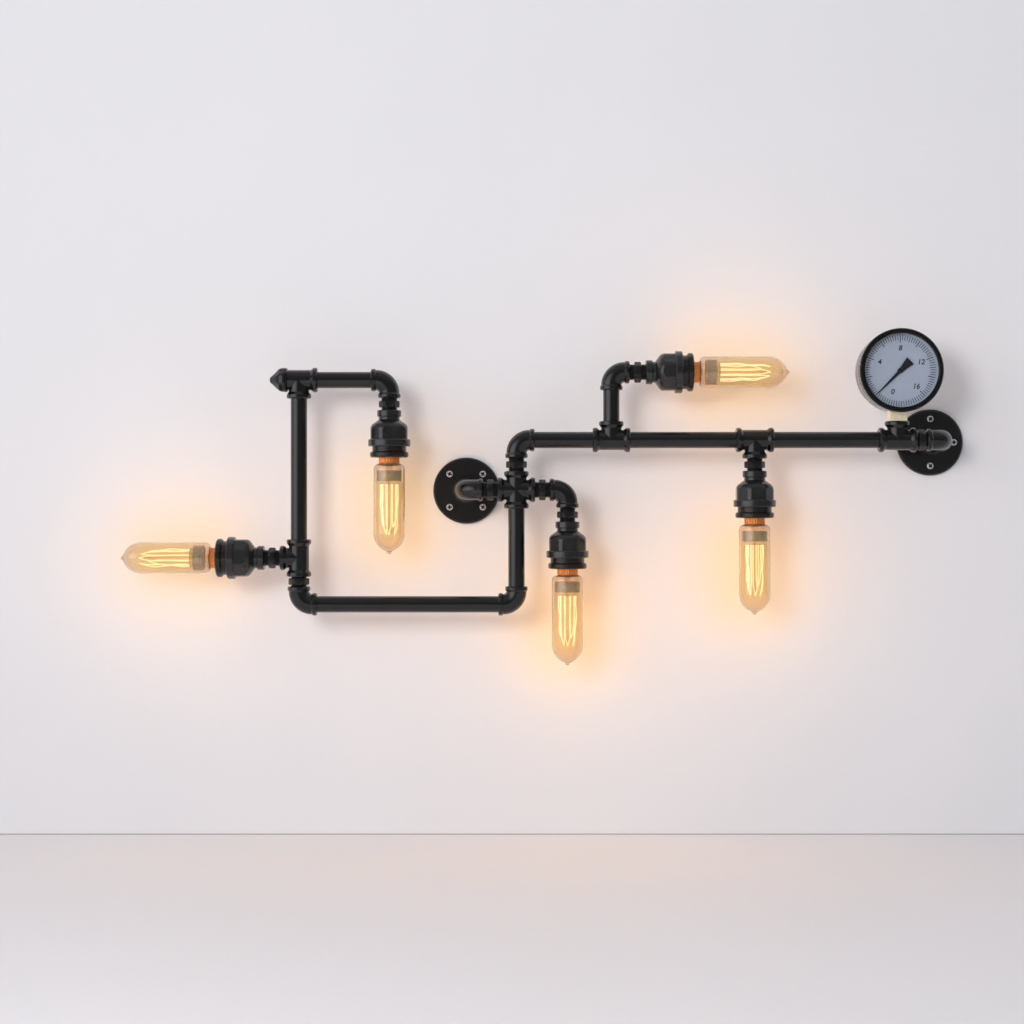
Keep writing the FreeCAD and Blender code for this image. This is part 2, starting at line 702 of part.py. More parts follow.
def gauge_stem(mouth, centre):
    """The brass stem: thread in the tee, square, neck through the case, and the block under the works."""
    case_floor = centre.z - mouth.z - CASE_DIAMETER / 2
    thread = disc(NIPPLE_THREAD_DIAMETER, -THREAD_DEPTH, 0)
    square = block(STEM_SQUARE, STEM_SQUARE, 0, case_floor + STEM_SQUARE / 2)
    case_round = Part.makeCylinder(CASE_DIAMETER / 2, 2 * STEM_SQUARE,
                                   Vector(-STEM_SQUARE, 0, case_floor + CASE_DIAMETER / 2), RIGHT)
    block_low = case_floor + CASE_WALL + SEAT_CLEARANCE
    neck = disc(STEM_NECK_DIAMETER, case_floor - CUT_PAST, block_low + CUT_PAST)
    case_room = Part.makeCylinder(CASE_DIAMETER / 2 - CASE_WALL - SEAT_CLEARANCE, 2 * STEM_SQUARE,
                                  Vector(-STEM_SQUARE, 0, case_floor + CASE_DIAMETER / 2), RIGHT)
    works_block = block(BLOCK_DEPTH, BLOCK_WIDTH, block_low, block_low + BLOCK_HEIGHT).common(case_room)
    port = disc(STEM_PORT_DIAMETER, -THREAD_DEPTH - CUT_PAST, block_low + BLOCK_HEIGHT / 2)
    stem = joined([square.cut(case_round), thread, neck, works_block]).cut(port)
    return placed(stem, mouth, UP)


def gauge_case(centre):
    """The round case, open at the front, with a hole below for the stem's neck."""
    back = -CASE_BEHIND_STEM
    outside = disc(CASE_DIAMETER, back, back + CASE_DEPTH)
    inside = disc(CASE_DIAMETER - 2 * CASE_WALL, back + CASE_WALL, back + CASE_DEPTH + CUT_PAST)
    neck = Part.makeCylinder(STEM_NECK_DIAMETER / 2 + SEAT_CLEARANCE, CASE_DIAMETER, ORIGIN, Vector(0, -1, 0))
    return round_about_needle(outside.cut([inside, neck]), centre)


def case_front():
    """How far the case's front edge stands in front of the stem's axis."""
    return CASE_DEPTH - CASE_BEHIND_STEM


def gauge_window(centre):
    """The glass disc clamped between the case's edge and the bezel's lip."""
    low = case_front()
    return round_about_needle(disc(CASE_DIAMETER - 2 * SEAT_CLEARANCE, low, low + WINDOW_THICKNESS), centre)


def gauge_bezel(centre):
    """The ring over the case's front that holds the window."""
    front = case_front() + WINDOW_THICKNESS + BEZEL_LIP
    inner = CASE_DIAMETER / 2 + SEAT_CLEARANCE
    outer = CASE_DIAMETER / 2 + BEZEL_WALL
    opening = CASE_DIAMETER / 2 - BEZEL_COVER
    ring = turned([
        (inner, front - BEZEL_DEPTH),
        (outer, front - BEZEL_DEPTH),
        (outer, front - BEZEL_CHAMFER),
        (outer - BEZEL_CHAMFER, front),
        (opening + BEZEL_CHAMFER, front),
        (opening, front - BEZEL_CHAMFER),
        (opening, front - BEZEL_LIP),
        (inner, front - BEZEL_LIP),
    ])
    return round_about_needle(ring, centre)


def dial_face():
    """How far the dial's front stands in front of the stem's axis."""
    return case_front() - DIAL_BELOW_WINDOW


def gauge_dial(centre):
    """The dial plate, with a hole for the arbor and a stop pin at the needle's zero."""
    face = dial_face()
    plate = tube(CASE_DIAMETER - 2 * CASE_WALL - 2 * SEAT_CLEARANCE, DIAL_HOLE_DIAMETER,
                 face - DIAL_THICKNESS, face)
    reach = STOP_PIN_RADIUS / NEEDLE_LENGTH
    half_width = (NEEDLE_ROOT_WIDTH * (1 - reach) + NEEDLE_TIP_WIDTH * reach) / 2
    aside = math.degrees((half_width + STOP_PIN_GAP + STOP_PIN_DIAMETER / 2) / STOP_PIN_RADIUS)
    x, y = on_circle(STOP_PIN_RADIUS, NEEDLE_ZERO_ANGLE + aside)
    pin = disc(STOP_PIN_DIAMETER, face - DIAL_THICKNESS, face + STOP_PIN_HEIGHT)
    pin.translate(Vector(x, y, 0))
    return round_about_needle(plate.fuse(pin), centre)


def needle(centre):
    """The hand: a long tapered point, a hub with a bore for the arbor, and a fan-shaped tail."""
    low = dial_face() + NEEDLE_ABOVE_DIAL
    blade_low = low + (NEEDLE_HUB_HEIGHT - NEEDLE_THICKNESS) / 2
    blade = flat_solid([
        (NEEDLE_LENGTH, -NEEDLE_TIP_WIDTH / 2),
        (NEEDLE_LENGTH, NEEDLE_TIP_WIDTH / 2),
        (0, NEEDLE_ROOT_WIDTH / 2),
        (0, -NEEDLE_ROOT_WIDTH / 2),
    ], blade_low, blade_low + NEEDLE_THICKNESS)
    tail = Part.makeCylinder(NEEDLE_TAIL, NEEDLE_THICKNESS, Vector(0, 0, blade_low), UP, NEEDLE_TAIL_SPREAD)
    tail.rotate(ORIGIN, UP, 180 - NEEDLE_TAIL_SPREAD / 2)
    hub = disc(NEEDLE_HUB_DIAMETER, low, low + NEEDLE_HUB_HEIGHT)
    bore = disc(ARBOR_DIAMETER, low - CUT_PAST, low + NEEDLE_HUB_HEIGHT + CUT_PAST)
    hand = joined([blade, tail, hub]).cut(bore)
    hand.rotate(ORIGIN, UP, NEEDLE_ZERO_ANGLE)
    return round_about_needle(hand, centre)


def tooth(pitch_radius, degrees):
    """The four corners of one tooth of a wheel, in order round it."""
    root = pitch_radius - TOOTH_DEDENDUM
    tip = pitch_radius + TOOTH_ADDENDUM
    corners = []
    for radius, offset in ((root, -TOOTH_ROOT_WIDTH), (tip, -TOOTH_TIP_WIDTH),
                           (tip, TOOTH_TIP_WIDTH), (root, TOOTH_ROOT_WIDTH)):
        corners.append(on_circle(radius, degrees + math.degrees(offset / 2 / radius)))
    return corners


def works_floor():
    """How far the works' back plate lies behind the stem's axis."""
    return BLOCK_DEPTH / 2 + PLATE_THICKNESS


def pinion(centre):
    """The pinion and its arbor, which carries the needle."""
    pitch_radius = GEAR_MODULE * PINION_TEETH / 2
    corners = []
    for index in range(PINION_TEETH):
        corners += tooth(pitch_radius, SECTOR_DIRECTION + 360 / PINION_TEETH * (index + 0.5))
    wheel = flat_solid(corners, -PINION_WIDTH / 2, PINION_WIDTH / 2)
    arbor = disc(ARBOR_DIAMETER, -works_floor() - ARBOR_END,
                 dial_face() + NEEDLE_ABOVE_DIAL + NEEDLE_HUB_HEIGHT)
    return round_about_needle(wheel.fuse(arbor), centre)


def sector_place():
    """The sector's pivot from the dial's centre, as (right, up)."""
    return on_circle(GEAR_MODULE * (PINION_TEETH + SECTOR_TEETH) / 2, SECTOR_DIRECTION)


def sector(centre):
    """The toothed sector on its own arbor, with the tail that the link pulls."""
    pitch_radius = GEAR_MODULE * SECTOR_TEETH / 2
    contact = SECTOR_DIRECTION - 180
    pitch = 360 / SECTOR_TEETH
    corners = []
    for index in range(SECTOR_CUT_TEETH):
        place = index - SECTOR_CUT_TEETH + 1 + SECTOR_TEETH_AFTER_CONTACT
        corners += tooth(pitch_radius, contact + pitch * place)
    first = contact + pitch * (SECTOR_TEETH_AFTER_CONTACT + 1 - SECTOR_CUT_TEETH)
    last = contact + pitch * SECTOR_TEETH_AFTER_CONTACT
    web_end = on_circle(SECTOR_HUB_DIAMETER / 2, (first + last) / 2 + 90)
    web_start = on_circle(SECTOR_HUB_DIAMETER / 2, (first + last) / 2 - 90)
    plate = flat_solid([web_start] + corners + [web_end], -SECTOR_THICKNESS / 2, SECTOR_THICKNESS / 2)
    tail = Part.makeBox(SECTOR_TAIL_LENGTH, SECTOR_TAIL_WIDTH, SECTOR_THICKNESS,
                        Vector(0, -SECTOR_TAIL_WIDTH / 2, -SECTOR_THICKNESS / 2))
    tail.rotate(ORIGIN, UP, SECTOR_TAIL_ANGLE)
    hub = disc(SECTOR_HUB_DIAMETER, -SECTOR_HUB_WIDTH / 2, SECTOR_HUB_WIDTH / 2)
    arbor = disc(ARBOR_DIAMETER, -works_floor() - ARBOR_END, works_floor() + ARBOR_END)
    whole = joined([plate, tail, hub, arbor])
    right, up = sector_place()
    return round_about_needle(whole, centre + Vector(right, 0, up))


def block_top():
    """The height of the stem block's top, measured from the dial's centre."""
    return -CASE_DIAMETER / 2 + CASE_WALL + SEAT_CLEARANCE + BLOCK_HEIGHT


def movement_frame(centre):
    """Two plates either side of the stem's block, held apart by pillars that run on to carry the dial."""
    half = BLOCK_DEPTH / 2
    bottom = block_top() - PLATE_OVER_BLOCK
    plate = Part.makeBox(PLATE_LEFT + PLATE_RIGHT, PLATE_TOP - bottom, PLATE_THICKNESS,
                         Vector(-PLATE_LEFT, bottom, 0))
    back = plate.copy()
    back.translate(Vector(0, 0, -half - PLATE_THICKNESS))
    front = plate.copy()
    front.translate(Vector(0, 0, half))
    pillars = []
    for x, y in ((-PLATE_LEFT + PILLAR_INSET, PLATE_TOP - PILLAR_INSET),
                 (PLATE_RIGHT - PILLAR_INSET, PLATE_TOP - PILLAR_INSET),
                 (PLATE_RIGHT - PILLAR_INSET, block_top() + PILLAR_ABOVE_BLOCK)):
        pillar = disc(PILLAR_DIAMETER, -half, dial_face() - DIAL_THICKNESS)
        pillar.translate(Vector(x, y, 0))
        pillars.append(pillar)
    frame = joined([back, front] + pillars)
    for x, y in ((0, 0), sector_place()):
        bearing = disc(ARBOR_DIAMETER + 2 * ARBOR_CLEARANCE, -CASE_DEPTH, CASE_DEPTH)
        bearing.translate(Vector(x, y, 0))
        frame = frame.cut(bearing)
    return round_about_needle(frame, centre)


def pressure_tube(centre, stem):
    """The flattened, curved tube with its plugged end, and the link from there to the sector's tail."""
    half_depth = TUBE_SECTION_DEPTH / 2
    radius = CASE_DIAMETER / 2 - TUBE_FROM_CASE
    inner = radius - TUBE_SECTION_WIDTH / 2
    outer = radius + TUBE_SECTION_WIDTH / 2
    corners = []
    for x, z in ((inner, -half_depth + TUBE_EDGE), (inner + TUBE_EDGE, -half_depth),
                 (outer - TUBE_EDGE, -half_depth), (outer, -half_depth + TUBE_EDGE),
                 (outer, half_depth - TUBE_EDGE), (outer - TUBE_EDGE, half_depth),
                 (inner + TUBE_EDGE, half_depth), (inner, half_depth - TUBE_EDGE)):
        corners.append(Vector(x, 0, z))
    section = Part.Face(Part.makePolygon(corners + corners[:1]))
    section.rotate(ORIGIN, UP, TUBE_START_ANGLE)
    curve = section.revolve(ORIGIN, UP, TUBE_END_ANGLE - TUBE_START_ANGLE)
    plug = Part.makeBox(TUBE_PLUG_WIDTH, TUBE_PLUG_LENGTH, TUBE_SECTION_DEPTH,
                        Vector(radius - TUBE_PLUG_WIDTH / 2, 0, -half_depth))
    plug.rotate(ORIGIN, UP, TUBE_END_ANGLE)
    curve = round_about_needle(curve.fuse(plug), centre).cut(stem)
    link_low = SECTOR_THICKNESS / 2 + LINK_GAP
    plug_x, plug_y = on_circle(radius - TUBE_PLUG_WIDTH / 2, TUBE_END_ANGLE)
    pivot_x, pivot_y = sector_place()
    tail_x, tail_y = on_circle(SECTOR_TAIL_LENGTH, SECTOR_TAIL_ANGLE, (pivot_x, pivot_y))
    run = Vector(tail_x - plug_x, tail_y - plug_y, 0)
    link = Part.makeBox(run.Length, LINK_WIDTH, LINK_THICKNESS, Vector(0, -LINK_WIDTH / 2, link_low))
    link.rotate(ORIGIN, UP, math.degrees(math.atan2(run.y, run.x)))
    link.translate(Vector(plug_x, plug_y, 0))
    return [curve, round_about_needle(link, centre).cut(curve)]


def save(name, shapes):
    """Write one sub-part: a solid, or a group of separate ones."""
    solids = shapes if isinstance(shapes, list) else [shapes]
    whole = solids[0] if len(solids) == 1 else Part.makeCompound(solids)
    whole.exportStep("parts/%s.step" % name)


def fittings_layout():
    """The centre of every fitting, worked out from the left flange along the pipes."""
    at = {"flange_elbow_left": Vector(0, -AXIS_FROM_WALL, 0)}
    at["cross"] = at["flange_elbow_left"] + RIGHT * (ELBOW_REACH + FLANGE_TO_CROSS_SHOW + TEE_REACH)
    at["elbow_top_middle"] = at["cross"] + UP * (TEE_REACH + CROSS_TO_TOP_SHOW + ELBOW_REACH)
    at["elbow_lamp_3"] = at["cross"] + RIGHT * (TEE_REACH + CROSS_TO_LAMP_3_SHOW + ELBOW_REACH)
    at["elbow_bottom_right"] = at["cross"] + DOWN * (TEE_REACH + MIDDLE_UPRIGHT_SHOW + ELBOW_REACH)
    at["elbow_bottom_left"] = at["elbow_bottom_right"] + LEFT * (2 * ELBOW_REACH + BOTTOM_PIPE_SHOW)
    at["tee_lamp_1"] = at["elbow_bottom_left"] + UP * (ELBOW_REACH + LOWER_LEFT_SHOW + TEE_REACH)
    at["tee_top_left"] = at["tee_lamp_1"] + UP * (2 * TEE_REACH + LEFT_UPRIGHT_SHOW)
    at["elbow_lamp_2"] = at["tee_top_left"] + RIGHT * (TEE_REACH + TOP_LEFT_PIPE_SHOW + ELBOW_REACH)
    at["tee_lamp_4"] = at["elbow_top_middle"] + RIGHT * (ELBOW_REACH + LONG_LEFT_SHOW + TEE_REACH)
    at["elbow_lamp_4"] = at["tee_lamp_4"] + UP * (TEE_REACH + RISER_SHOW + ELBOW_REACH)
    at["tee_lamp_5"] = at["tee_lamp_4"] + RIGHT * (2 * TEE_REACH + LONG_MIDDLE_SHOW)
    at["tee_gauge"] = at["tee_lamp_5"] + RIGHT * (2 * TEE_REACH + LONG_RIGHT_SHOW)
    at["flange_elbow_right"] = at["tee_gauge"] + RIGHT * (TEE_REACH + GAUGE_TO_FLANGE_SHOW + ELBOW_REACH)
    return at


def build_wall_side(at):
    """Flanges, their screws and nipples, and the elbows that turn off the wall."""
    left_wall = Vector(at["flange_elbow_left"].x, 0, at["flange_elbow_left"].z)
    right_wall = Vector(at["flange_elbow_right"].x, 0, at["flange_elbow_right"].z)
    save("flange_left", flange(left_wall, LEFT_SCREW_ANGLE))
    save("flange_right", flange(right_wall, RIGHT_SCREW_ANGLE))
    save("wall_screws", wall_screws(left_wall, LEFT_SCREW_ANGLE) + wall_screws(right_wall, RIGHT_SCREW_ANGLE))
    save("flange_nipples", [flange_nipple(left_wall), flange_nipple(right_wall)])
    save("flange_elbows", [
        elbow(at["flange_elbow_left"], BACK, RIGHT),
        elbow(at["flange_elbow_right"], BACK, LEFT),
    ])


def build_fittings(at):
    """The cross, the tees, the elbows in the plane of the pipes and the end cap."""
    save("cross", placed(branched_fitting([LEFT, RIGHT, UP, DOWN]), at["cross"], UP, RIGHT))
    tee = branched_fitting([LEFT, RIGHT, UP])
    save("tee_lamp_1", placed(tee, at["tee_lamp_1"], LEFT, UP))
    save("tee_lamp_4", placed(tee, at["tee_lamp_4"], UP, RIGHT))
    save("tee_lamp_5", placed(tee, at["tee_lamp_5"], DOWN, RIGHT))
    save("tee_gauge", placed(tee, at["tee_gauge"], UP, RIGHT))
    stopped_tee = branched_fitting([LEFT, RIGHT, UP], RIGHT)
    save("tee_top_left", placed(stopped_tee, at["tee_top_left"], DOWN, LEFT))
    mouths = {
        "elbow_bottom_left": (UP, RIGHT),
        "elbow_bottom_right": (UP, LEFT),
        "elbow_top_middle": (DOWN, RIGHT),
        "elbow_lamp_2": (DOWN, LEFT),
        "elbow_lamp_3": (DOWN, LEFT),
        "elbow_lamp_4": (DOWN, RIGHT),
    }
    for name, (first, second) in mouths.items():
        save(name, elbow(at[name], first, second))
    save("end_cap", end_cap(at["tee_top_left"] + LEFT * STOPPED_ARM_REACH, LEFT))


def build_pipes(at):
    """The pipes, each from the mouth of one fitting to the next."""
    pipes = {
        "pipe_middle_upright": ("cross", TEE_REACH, DOWN, MIDDLE_UPRIGHT_SHOW),
        "pipe_bottom": ("elbow_bottom_right", ELBOW_REACH, LEFT, BOTTOM_PIPE_SHOW),
        "pipe_left_upright": ("tee_lamp_1", TEE_REACH, UP, LEFT_UPRIGHT_SHOW),
        "pipe_top_left": ("tee_top_left", TEE_REACH, RIGHT, TOP_LEFT_PIPE_SHOW),
        "pipe_long_left": ("elbow_top_middle", ELBOW_REACH, RIGHT, LONG_LEFT_SHOW),
        "pipe_long_middle": ("tee_lamp_4", TEE_REACH, RIGHT, LONG_MIDDLE_SHOW),
        "pipe_long_right": ("tee_lamp_5", TEE_REACH, RIGHT, LONG_RIGHT_SHOW),
        "pipe_riser": ("tee_lamp_4", TEE_REACH, UP, RISER_SHOW),
    }
    for name, (fitting, reach, direction, show) in pipes.items():
        save(name, straight_pipe(at[fitting] + direction * reach, direction, show))


def lamp_mouths(at):
    """For each lamp, the mouth that it hangs from and the way it points."""
    return {
        1: (at["tee_lamp_1"] + LEFT * TEE_REACH, LEFT),
        2: (at["elbow_lamp_2"] + DOWN * ELBOW_REACH, DOWN),
        3: (at["elbow_lamp_3"] + DOWN * ELBOW_REACH, DOWN),
        4: (at["elbow_lamp_4"] + RIGHT * ELBOW_REACH, RIGHT),
        5: (at["tee_lamp_5"] + DOWN * TEE_REACH, DOWN),
    }


def build_nipples(at):
    """The hexagon nipples: those of the frame, then one at each lamp."""
    nipples = [
        hex_nipple(at["flange_elbow_left"] + RIGHT * ELBOW_REACH, RIGHT, FLANGE_TO_CROSS_SHOW),
        hex_nipple(at["cross"] + UP * TEE_REACH, UP, CROSS_TO_TOP_SHOW),
        hex_nipple(at["cross"] + RIGHT * TEE_REACH, RIGHT, CROSS_TO_LAMP_3_SHOW),
        hex_nipple(at["elbow_bottom_left"] + UP * ELBOW_REACH, UP, LOWER_LEFT_SHOW),
        hex_nipple(at["tee_gauge"] + RIGHT * TEE_REACH, RIGHT, GAUGE_TO_FLANGE_SHOW),
    ]
    for number, (mouth, direction) in lamp_mouths(at).items():
        nipples.append(hex_nipple(mouth, direction, LAMP_NIPPLE_SHOW[number]))
    save("hex_nipples", nipples)


def build_lamps(at):
    """At each lamp: the reducer, the lampholder's pieces, and the lamp itself."""
    skirts = []
    cores = []
    contacts = []
    mount = filament_mount()
    for number, (mouth, direction) in lamp_mouths(at).items():
        start = mouth + direction * LAMP_NIPPLE_SHOW[number]
        rim = start + direction * (REDUCER_LENGTH + SKIRT_SHOW)
        save("reducer_lamp_%d" % number, reducer(start, direction))
        skirts.append(skirt(rim, direction))
        cores.append(lampholder_core(rim, direction))
        contacts += lampholder_contacts(rim, direction)
        save("bulb_cap_%d" % number, lamp_cap(rim, direction))
        save("bulb_glass_%d" % number, lamp_glass(rim, direction))
        save("bulb_filament_%d" % number, placed(mount, rim, direction))
    save("lampholder_skirts", skirts)
    save("lampholder_cores", cores)
    save("lampholder_contacts", contacts)


def build_gauge(at):
    """The dial gauge on top of its tee, and its works."""
    mouth = at["tee_gauge"] + UP * TEE_REACH
    centre = mouth + UP * (STEM_SQUARE_SHOW + CASE_DIAMETER / 2)
    stem = gauge_stem(mouth, centre)
    save("gauge_stem", stem)
    save("gauge_case", gauge_case(centre))
    save("gauge_bezel", gauge_bezel(centre))
    save("gauge_window", gauge_window(centre))
    save("gauge_dial", gauge_dial(centre))
    save("gauge_needle", needle(centre))
    save("gauge_pinion", pinion(centre))
    save("gauge_sector", sector(centre))
    save("movement_frame", movement_frame(centre))
    save("pressure_tube", pressure_tube(centre, stem))


os.makedirs("parts", exist_ok=True)
layout = fittings_layout()
build_wall_side(layout)
build_fittings(layout)
build_pipes(layout)
build_nipples(layout)
build_lamps(layout)
build_gauge(layout)
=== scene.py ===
import json
import math
import random

import bmesh
import bpy
from mathutils import Matrix, Vector

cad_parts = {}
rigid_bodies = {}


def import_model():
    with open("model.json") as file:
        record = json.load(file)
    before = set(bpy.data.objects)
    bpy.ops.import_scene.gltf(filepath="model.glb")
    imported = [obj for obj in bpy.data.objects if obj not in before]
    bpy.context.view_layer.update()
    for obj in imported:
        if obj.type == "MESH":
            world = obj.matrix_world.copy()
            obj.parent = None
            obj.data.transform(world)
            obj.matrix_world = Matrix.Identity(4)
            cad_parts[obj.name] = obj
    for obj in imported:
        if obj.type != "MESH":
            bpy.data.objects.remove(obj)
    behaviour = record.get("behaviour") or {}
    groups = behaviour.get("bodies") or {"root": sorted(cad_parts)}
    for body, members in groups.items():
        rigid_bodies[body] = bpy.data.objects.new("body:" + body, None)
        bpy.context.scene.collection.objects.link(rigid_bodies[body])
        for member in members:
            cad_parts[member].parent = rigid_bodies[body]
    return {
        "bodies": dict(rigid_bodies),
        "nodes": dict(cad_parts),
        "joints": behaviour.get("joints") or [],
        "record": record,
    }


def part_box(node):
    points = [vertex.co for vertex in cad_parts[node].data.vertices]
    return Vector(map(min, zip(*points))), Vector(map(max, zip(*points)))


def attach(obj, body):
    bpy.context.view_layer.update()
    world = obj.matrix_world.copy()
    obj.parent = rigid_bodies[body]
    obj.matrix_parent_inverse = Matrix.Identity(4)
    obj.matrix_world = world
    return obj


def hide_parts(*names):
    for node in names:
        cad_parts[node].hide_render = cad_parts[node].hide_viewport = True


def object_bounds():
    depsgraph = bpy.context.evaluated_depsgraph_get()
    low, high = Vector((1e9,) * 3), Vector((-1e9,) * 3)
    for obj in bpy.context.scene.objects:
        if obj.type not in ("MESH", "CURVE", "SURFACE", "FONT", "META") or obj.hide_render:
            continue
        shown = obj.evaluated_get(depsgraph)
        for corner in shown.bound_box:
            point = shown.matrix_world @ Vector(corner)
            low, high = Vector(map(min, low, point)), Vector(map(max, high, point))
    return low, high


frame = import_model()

# The looks of a wall light made of black pipe and fittings, with five tubular lamps and a dial gauge.
# Sizes are in metres. The wall is the plane y = 0, the light stands out from it towards -Y, and +Z is up.

RIGHT = Vector((1, 0, 0))
UP = Vector((0, 0, 1))
FRONT = Vector((0, -1, 0))
WHOLE_TURN = 2 * math.pi
LAMPS = range(1, 6)

# Camera, wall and floor
CAMERA_PLACE = (0.0615, -2.54, -0.0288)
CAMERA_LENS = 66.25
CAMERA_SENSOR = 36.0
WALL_BEHIND = 0.0003
WALL_WIDTH = 9.0
WALL_HEIGHT = 5.0
FLOOR_LEVEL = -0.4634
FLOOR_DEPTH = 7.0
SKIRTING_GAP = 0.0009

# Soft key lamp at the left of the camera, and a fill lamp at the right
KEY_PLACE = (-0.70, -2.4, 0.47)
KEY_SIZE = 0.58
KEY_POWER = 21.8
KEY_COLOUR = (1.0, 0.985, 0.97)
FILL_PLACE = (2.1, -2.2, 0.5)
FILL_SIZE = 1.4
FILL_POWER = 5.5
FILL_COLOUR = (1.0, 0.99, 0.98)

# Light from the room: even, with a large window at the left, and paler above and behind the wall
ROOM_COLOUR = (0.95, 0.96, 1.0)
ROOM_LEVEL = 0.20
ROOM_LEVEL_BEHIND = 0.9
ROOM_BEHIND_EDGE = 0.2
CEILING_LEVEL = 0.28
CEILING_EDGE = 0.42
CEILING_MIDDLE = 0.8
BACKDROP_LEVEL = 0.76
WINDOW_LEVEL = 2.0
WINDOW_WAY = (-0.77, -0.64, 0.05)
WINDOW_EDGE = 0.76
WINDOW_MIDDLE = 1.0

# Lit lamps: warm lights along the filament, how far the painted glow on the wall and the glass reaches, and
# each lamp's painted glow strength
LAMP_LIGHT_HEIGHTS = (0.046, 0.068, 0.090)
LAMP_LIGHT_RADIUS = 0.008
LAMP_LIGHT_POWER = 0.15
LAMP_LIGHT_COLOUR = (1.0, 0.53, 0.18)
WALL_PAINTED_GLOW_REACH = 0.066
GLASS_PAINTED_GLOW_REACH = 0.022
PAINTED_GLOW_DEPTH = 1.0
PAINTED_GLOW_STRENGTH = {1: 0.7, 2: 0.9, 3: 1.0, 4: 0.75, 5: 0.95}

# Lamps, measured along the axis from the lampholder's rim
GLASS_IN_CAP = 0.006
GLASS_NECK_RADIUS = 0.01245
GLASS_CLEARANCE = 0.0002
CAP_SHOW = 0.0082
CAP_COLLAR_RADIUS = 0.0135
CAP_COLLAR_START = -0.001
CAP_BEAD = 0.0005
CAP_LINING = 0.003
CAP_FLUTES = 26
CAP_FLUTE_DEPTH = 0.0003
CAP_FLUTE_RADIUS = 0.01314
CAP_THREAD_ROOT = 0.01235
CAP_THREAD_DEPTH = 0.00077
CAP_THREAD_PITCH = 0.0036
CAP_THREAD_START = -0.0148
CAP_THREAD_FADE = 0.001
CAP_CONE_RADIUS = 0.0112
CAP_CONE_STEP = 0.0007
CAP_CONE_RISE = 0.0003
CAP_TIP = -0.02055
CAP_CONTACT_RADIUS = 0.0048
CAP_CONTACT_HEIGHT = 0.001
STEM_RADIUS = 0.004
STEM_FLARE_CLEARANCE = 0.0012
STEM_RIM = 0.0005
STEM_GAP = 0.0004
COLLAR_LOW = 0.0180
COLLAR_HIGH = 0.0300
COLLAR_RADIUS = 0.0142
COLLAR_LIP = 0.0006
COLLAR_BAND = 0.0022
COLLAR_GROOVE = 0.0005
SLEEVE_RADIUS = 0.0164
SLEEVE_RIB = 0.0003
SLEEVE_HEM = 0.001
SLEEVE_RIB_HEIGHTS = (0.0008, 0.0030, 0.0098, 0.0114)
SPACER_LOW = 0.0335
SPACER_HIGH = 0.0347
SPACER_RADIUS = 0.0128
ROD_RADIUS = 0.0012
ROD_HEAD_RADIUS = 0.00204
ROD_HEAD_HEIGHT = 0.0015
ROD_ROOT = 0.001
ROD_END = 0.0945
HOOK_RADIUS = 0.0003
HOOK_BENDS = ((0.5, -0.002), (0.95, 0.0004), (1.12, -0.0002))
POST_HIGH = 0.0365
FILAMENT_LOOPS = 5
FILAMENT_LOOP_SHARE = 0.25
FILAMENT_RADIUS = 0.00062
FILAMENT_TOP_RADIUS = 0.0112
FILAMENT_FOOT_RADIUS = 0.0072
FILAMENT_SHORT_END = 0.091
FILAMENT_LONG_END = 0.1005
FILAMENT_SAG = 0.0009
FILAMENT_STEPS = 22
FILAMENT_GATHER_START = 0.72
FILAMENT_EVEN_TAPER = 0.25
FILAMENT_RIPPLES = 9.0

# Screw shells and centre contacts in the lampholders
SHELL_LOW = -0.022
SHELL_HIGH = -0.003
SHELL_INNER_CREST = 0.01345
SHELL_THREAD_DEPTH = 0.0005
SHELL_WALL = 0.0004
CONTACT_FORM = (
    (0, 0), (0.0045, 0), (0.0045, 0.0003), (0.0032, 0.0006), (0.002, 0.001), (0.0008, 0.0011), (0, 0.0011))

# Hexagon nipples
ELBOW_REACH = 0.0235
HEX_FLATS = 0.0244
HEX_CORNERS = 0.0272
HEX_WIDTH = 0.0086
HEX_CHAMFER = 0.0011
NIPPLE_SIDES = 48
PIPE_THREAD_ROOT = 0.00945
PIPE_THREAD_DEPTH = 0.00103
PIPE_THREAD_PITCH = 0.00181
PIPE_THREAD_HIDDEN = 0.004
PIPE_THREAD_FLAT = 1.25
PIPE_BORE_RADIUS = 0.008
ROWS_PER_TURN = 8

# Wall screws
SCREW_CIRCLE_RADIUS = 0.0315
SCREW_COUNT = 4
SCREW_ANGLES = {"flange_left": 45.0, "flange_right": 0.0}
SCREW_SIDES = 36
FLANGE_THICKNESS = 0.006
SCREW_HEAD_RADIUS = 0.0044
SCREW_HEAD_CORNER = (0.0003, 0.0004)
SCREW_HEAD_EDGE = 0.001
SCREW_HEAD_HEIGHT = 0.0028
SCREW_HEAD_TOP_RADIUS = 0.0033
SCREW_HEAD_STEPS = 4
SCREW_NECK_RADIUS = 0.002
SCREW_THREAD_ROOT = 0.0016
SCREW_THREAD_DEPTH = 0.00068
SCREW_THREAD_PITCH = 0.002
SCREW_THREAD_STEEPNESS = 2.6
SCREW_THREAD_FADE = -0.0015
SCREW_THREAD_END = -0.027
SCREW_POINT = -0.032
RECESS_HALF_LENGTH = 0.0030
RECESS_HALF_WIDTH = 0.0011
RECESS_DEPTH = 0.0018
RECESS_TAPER = (0.72, 0.6)

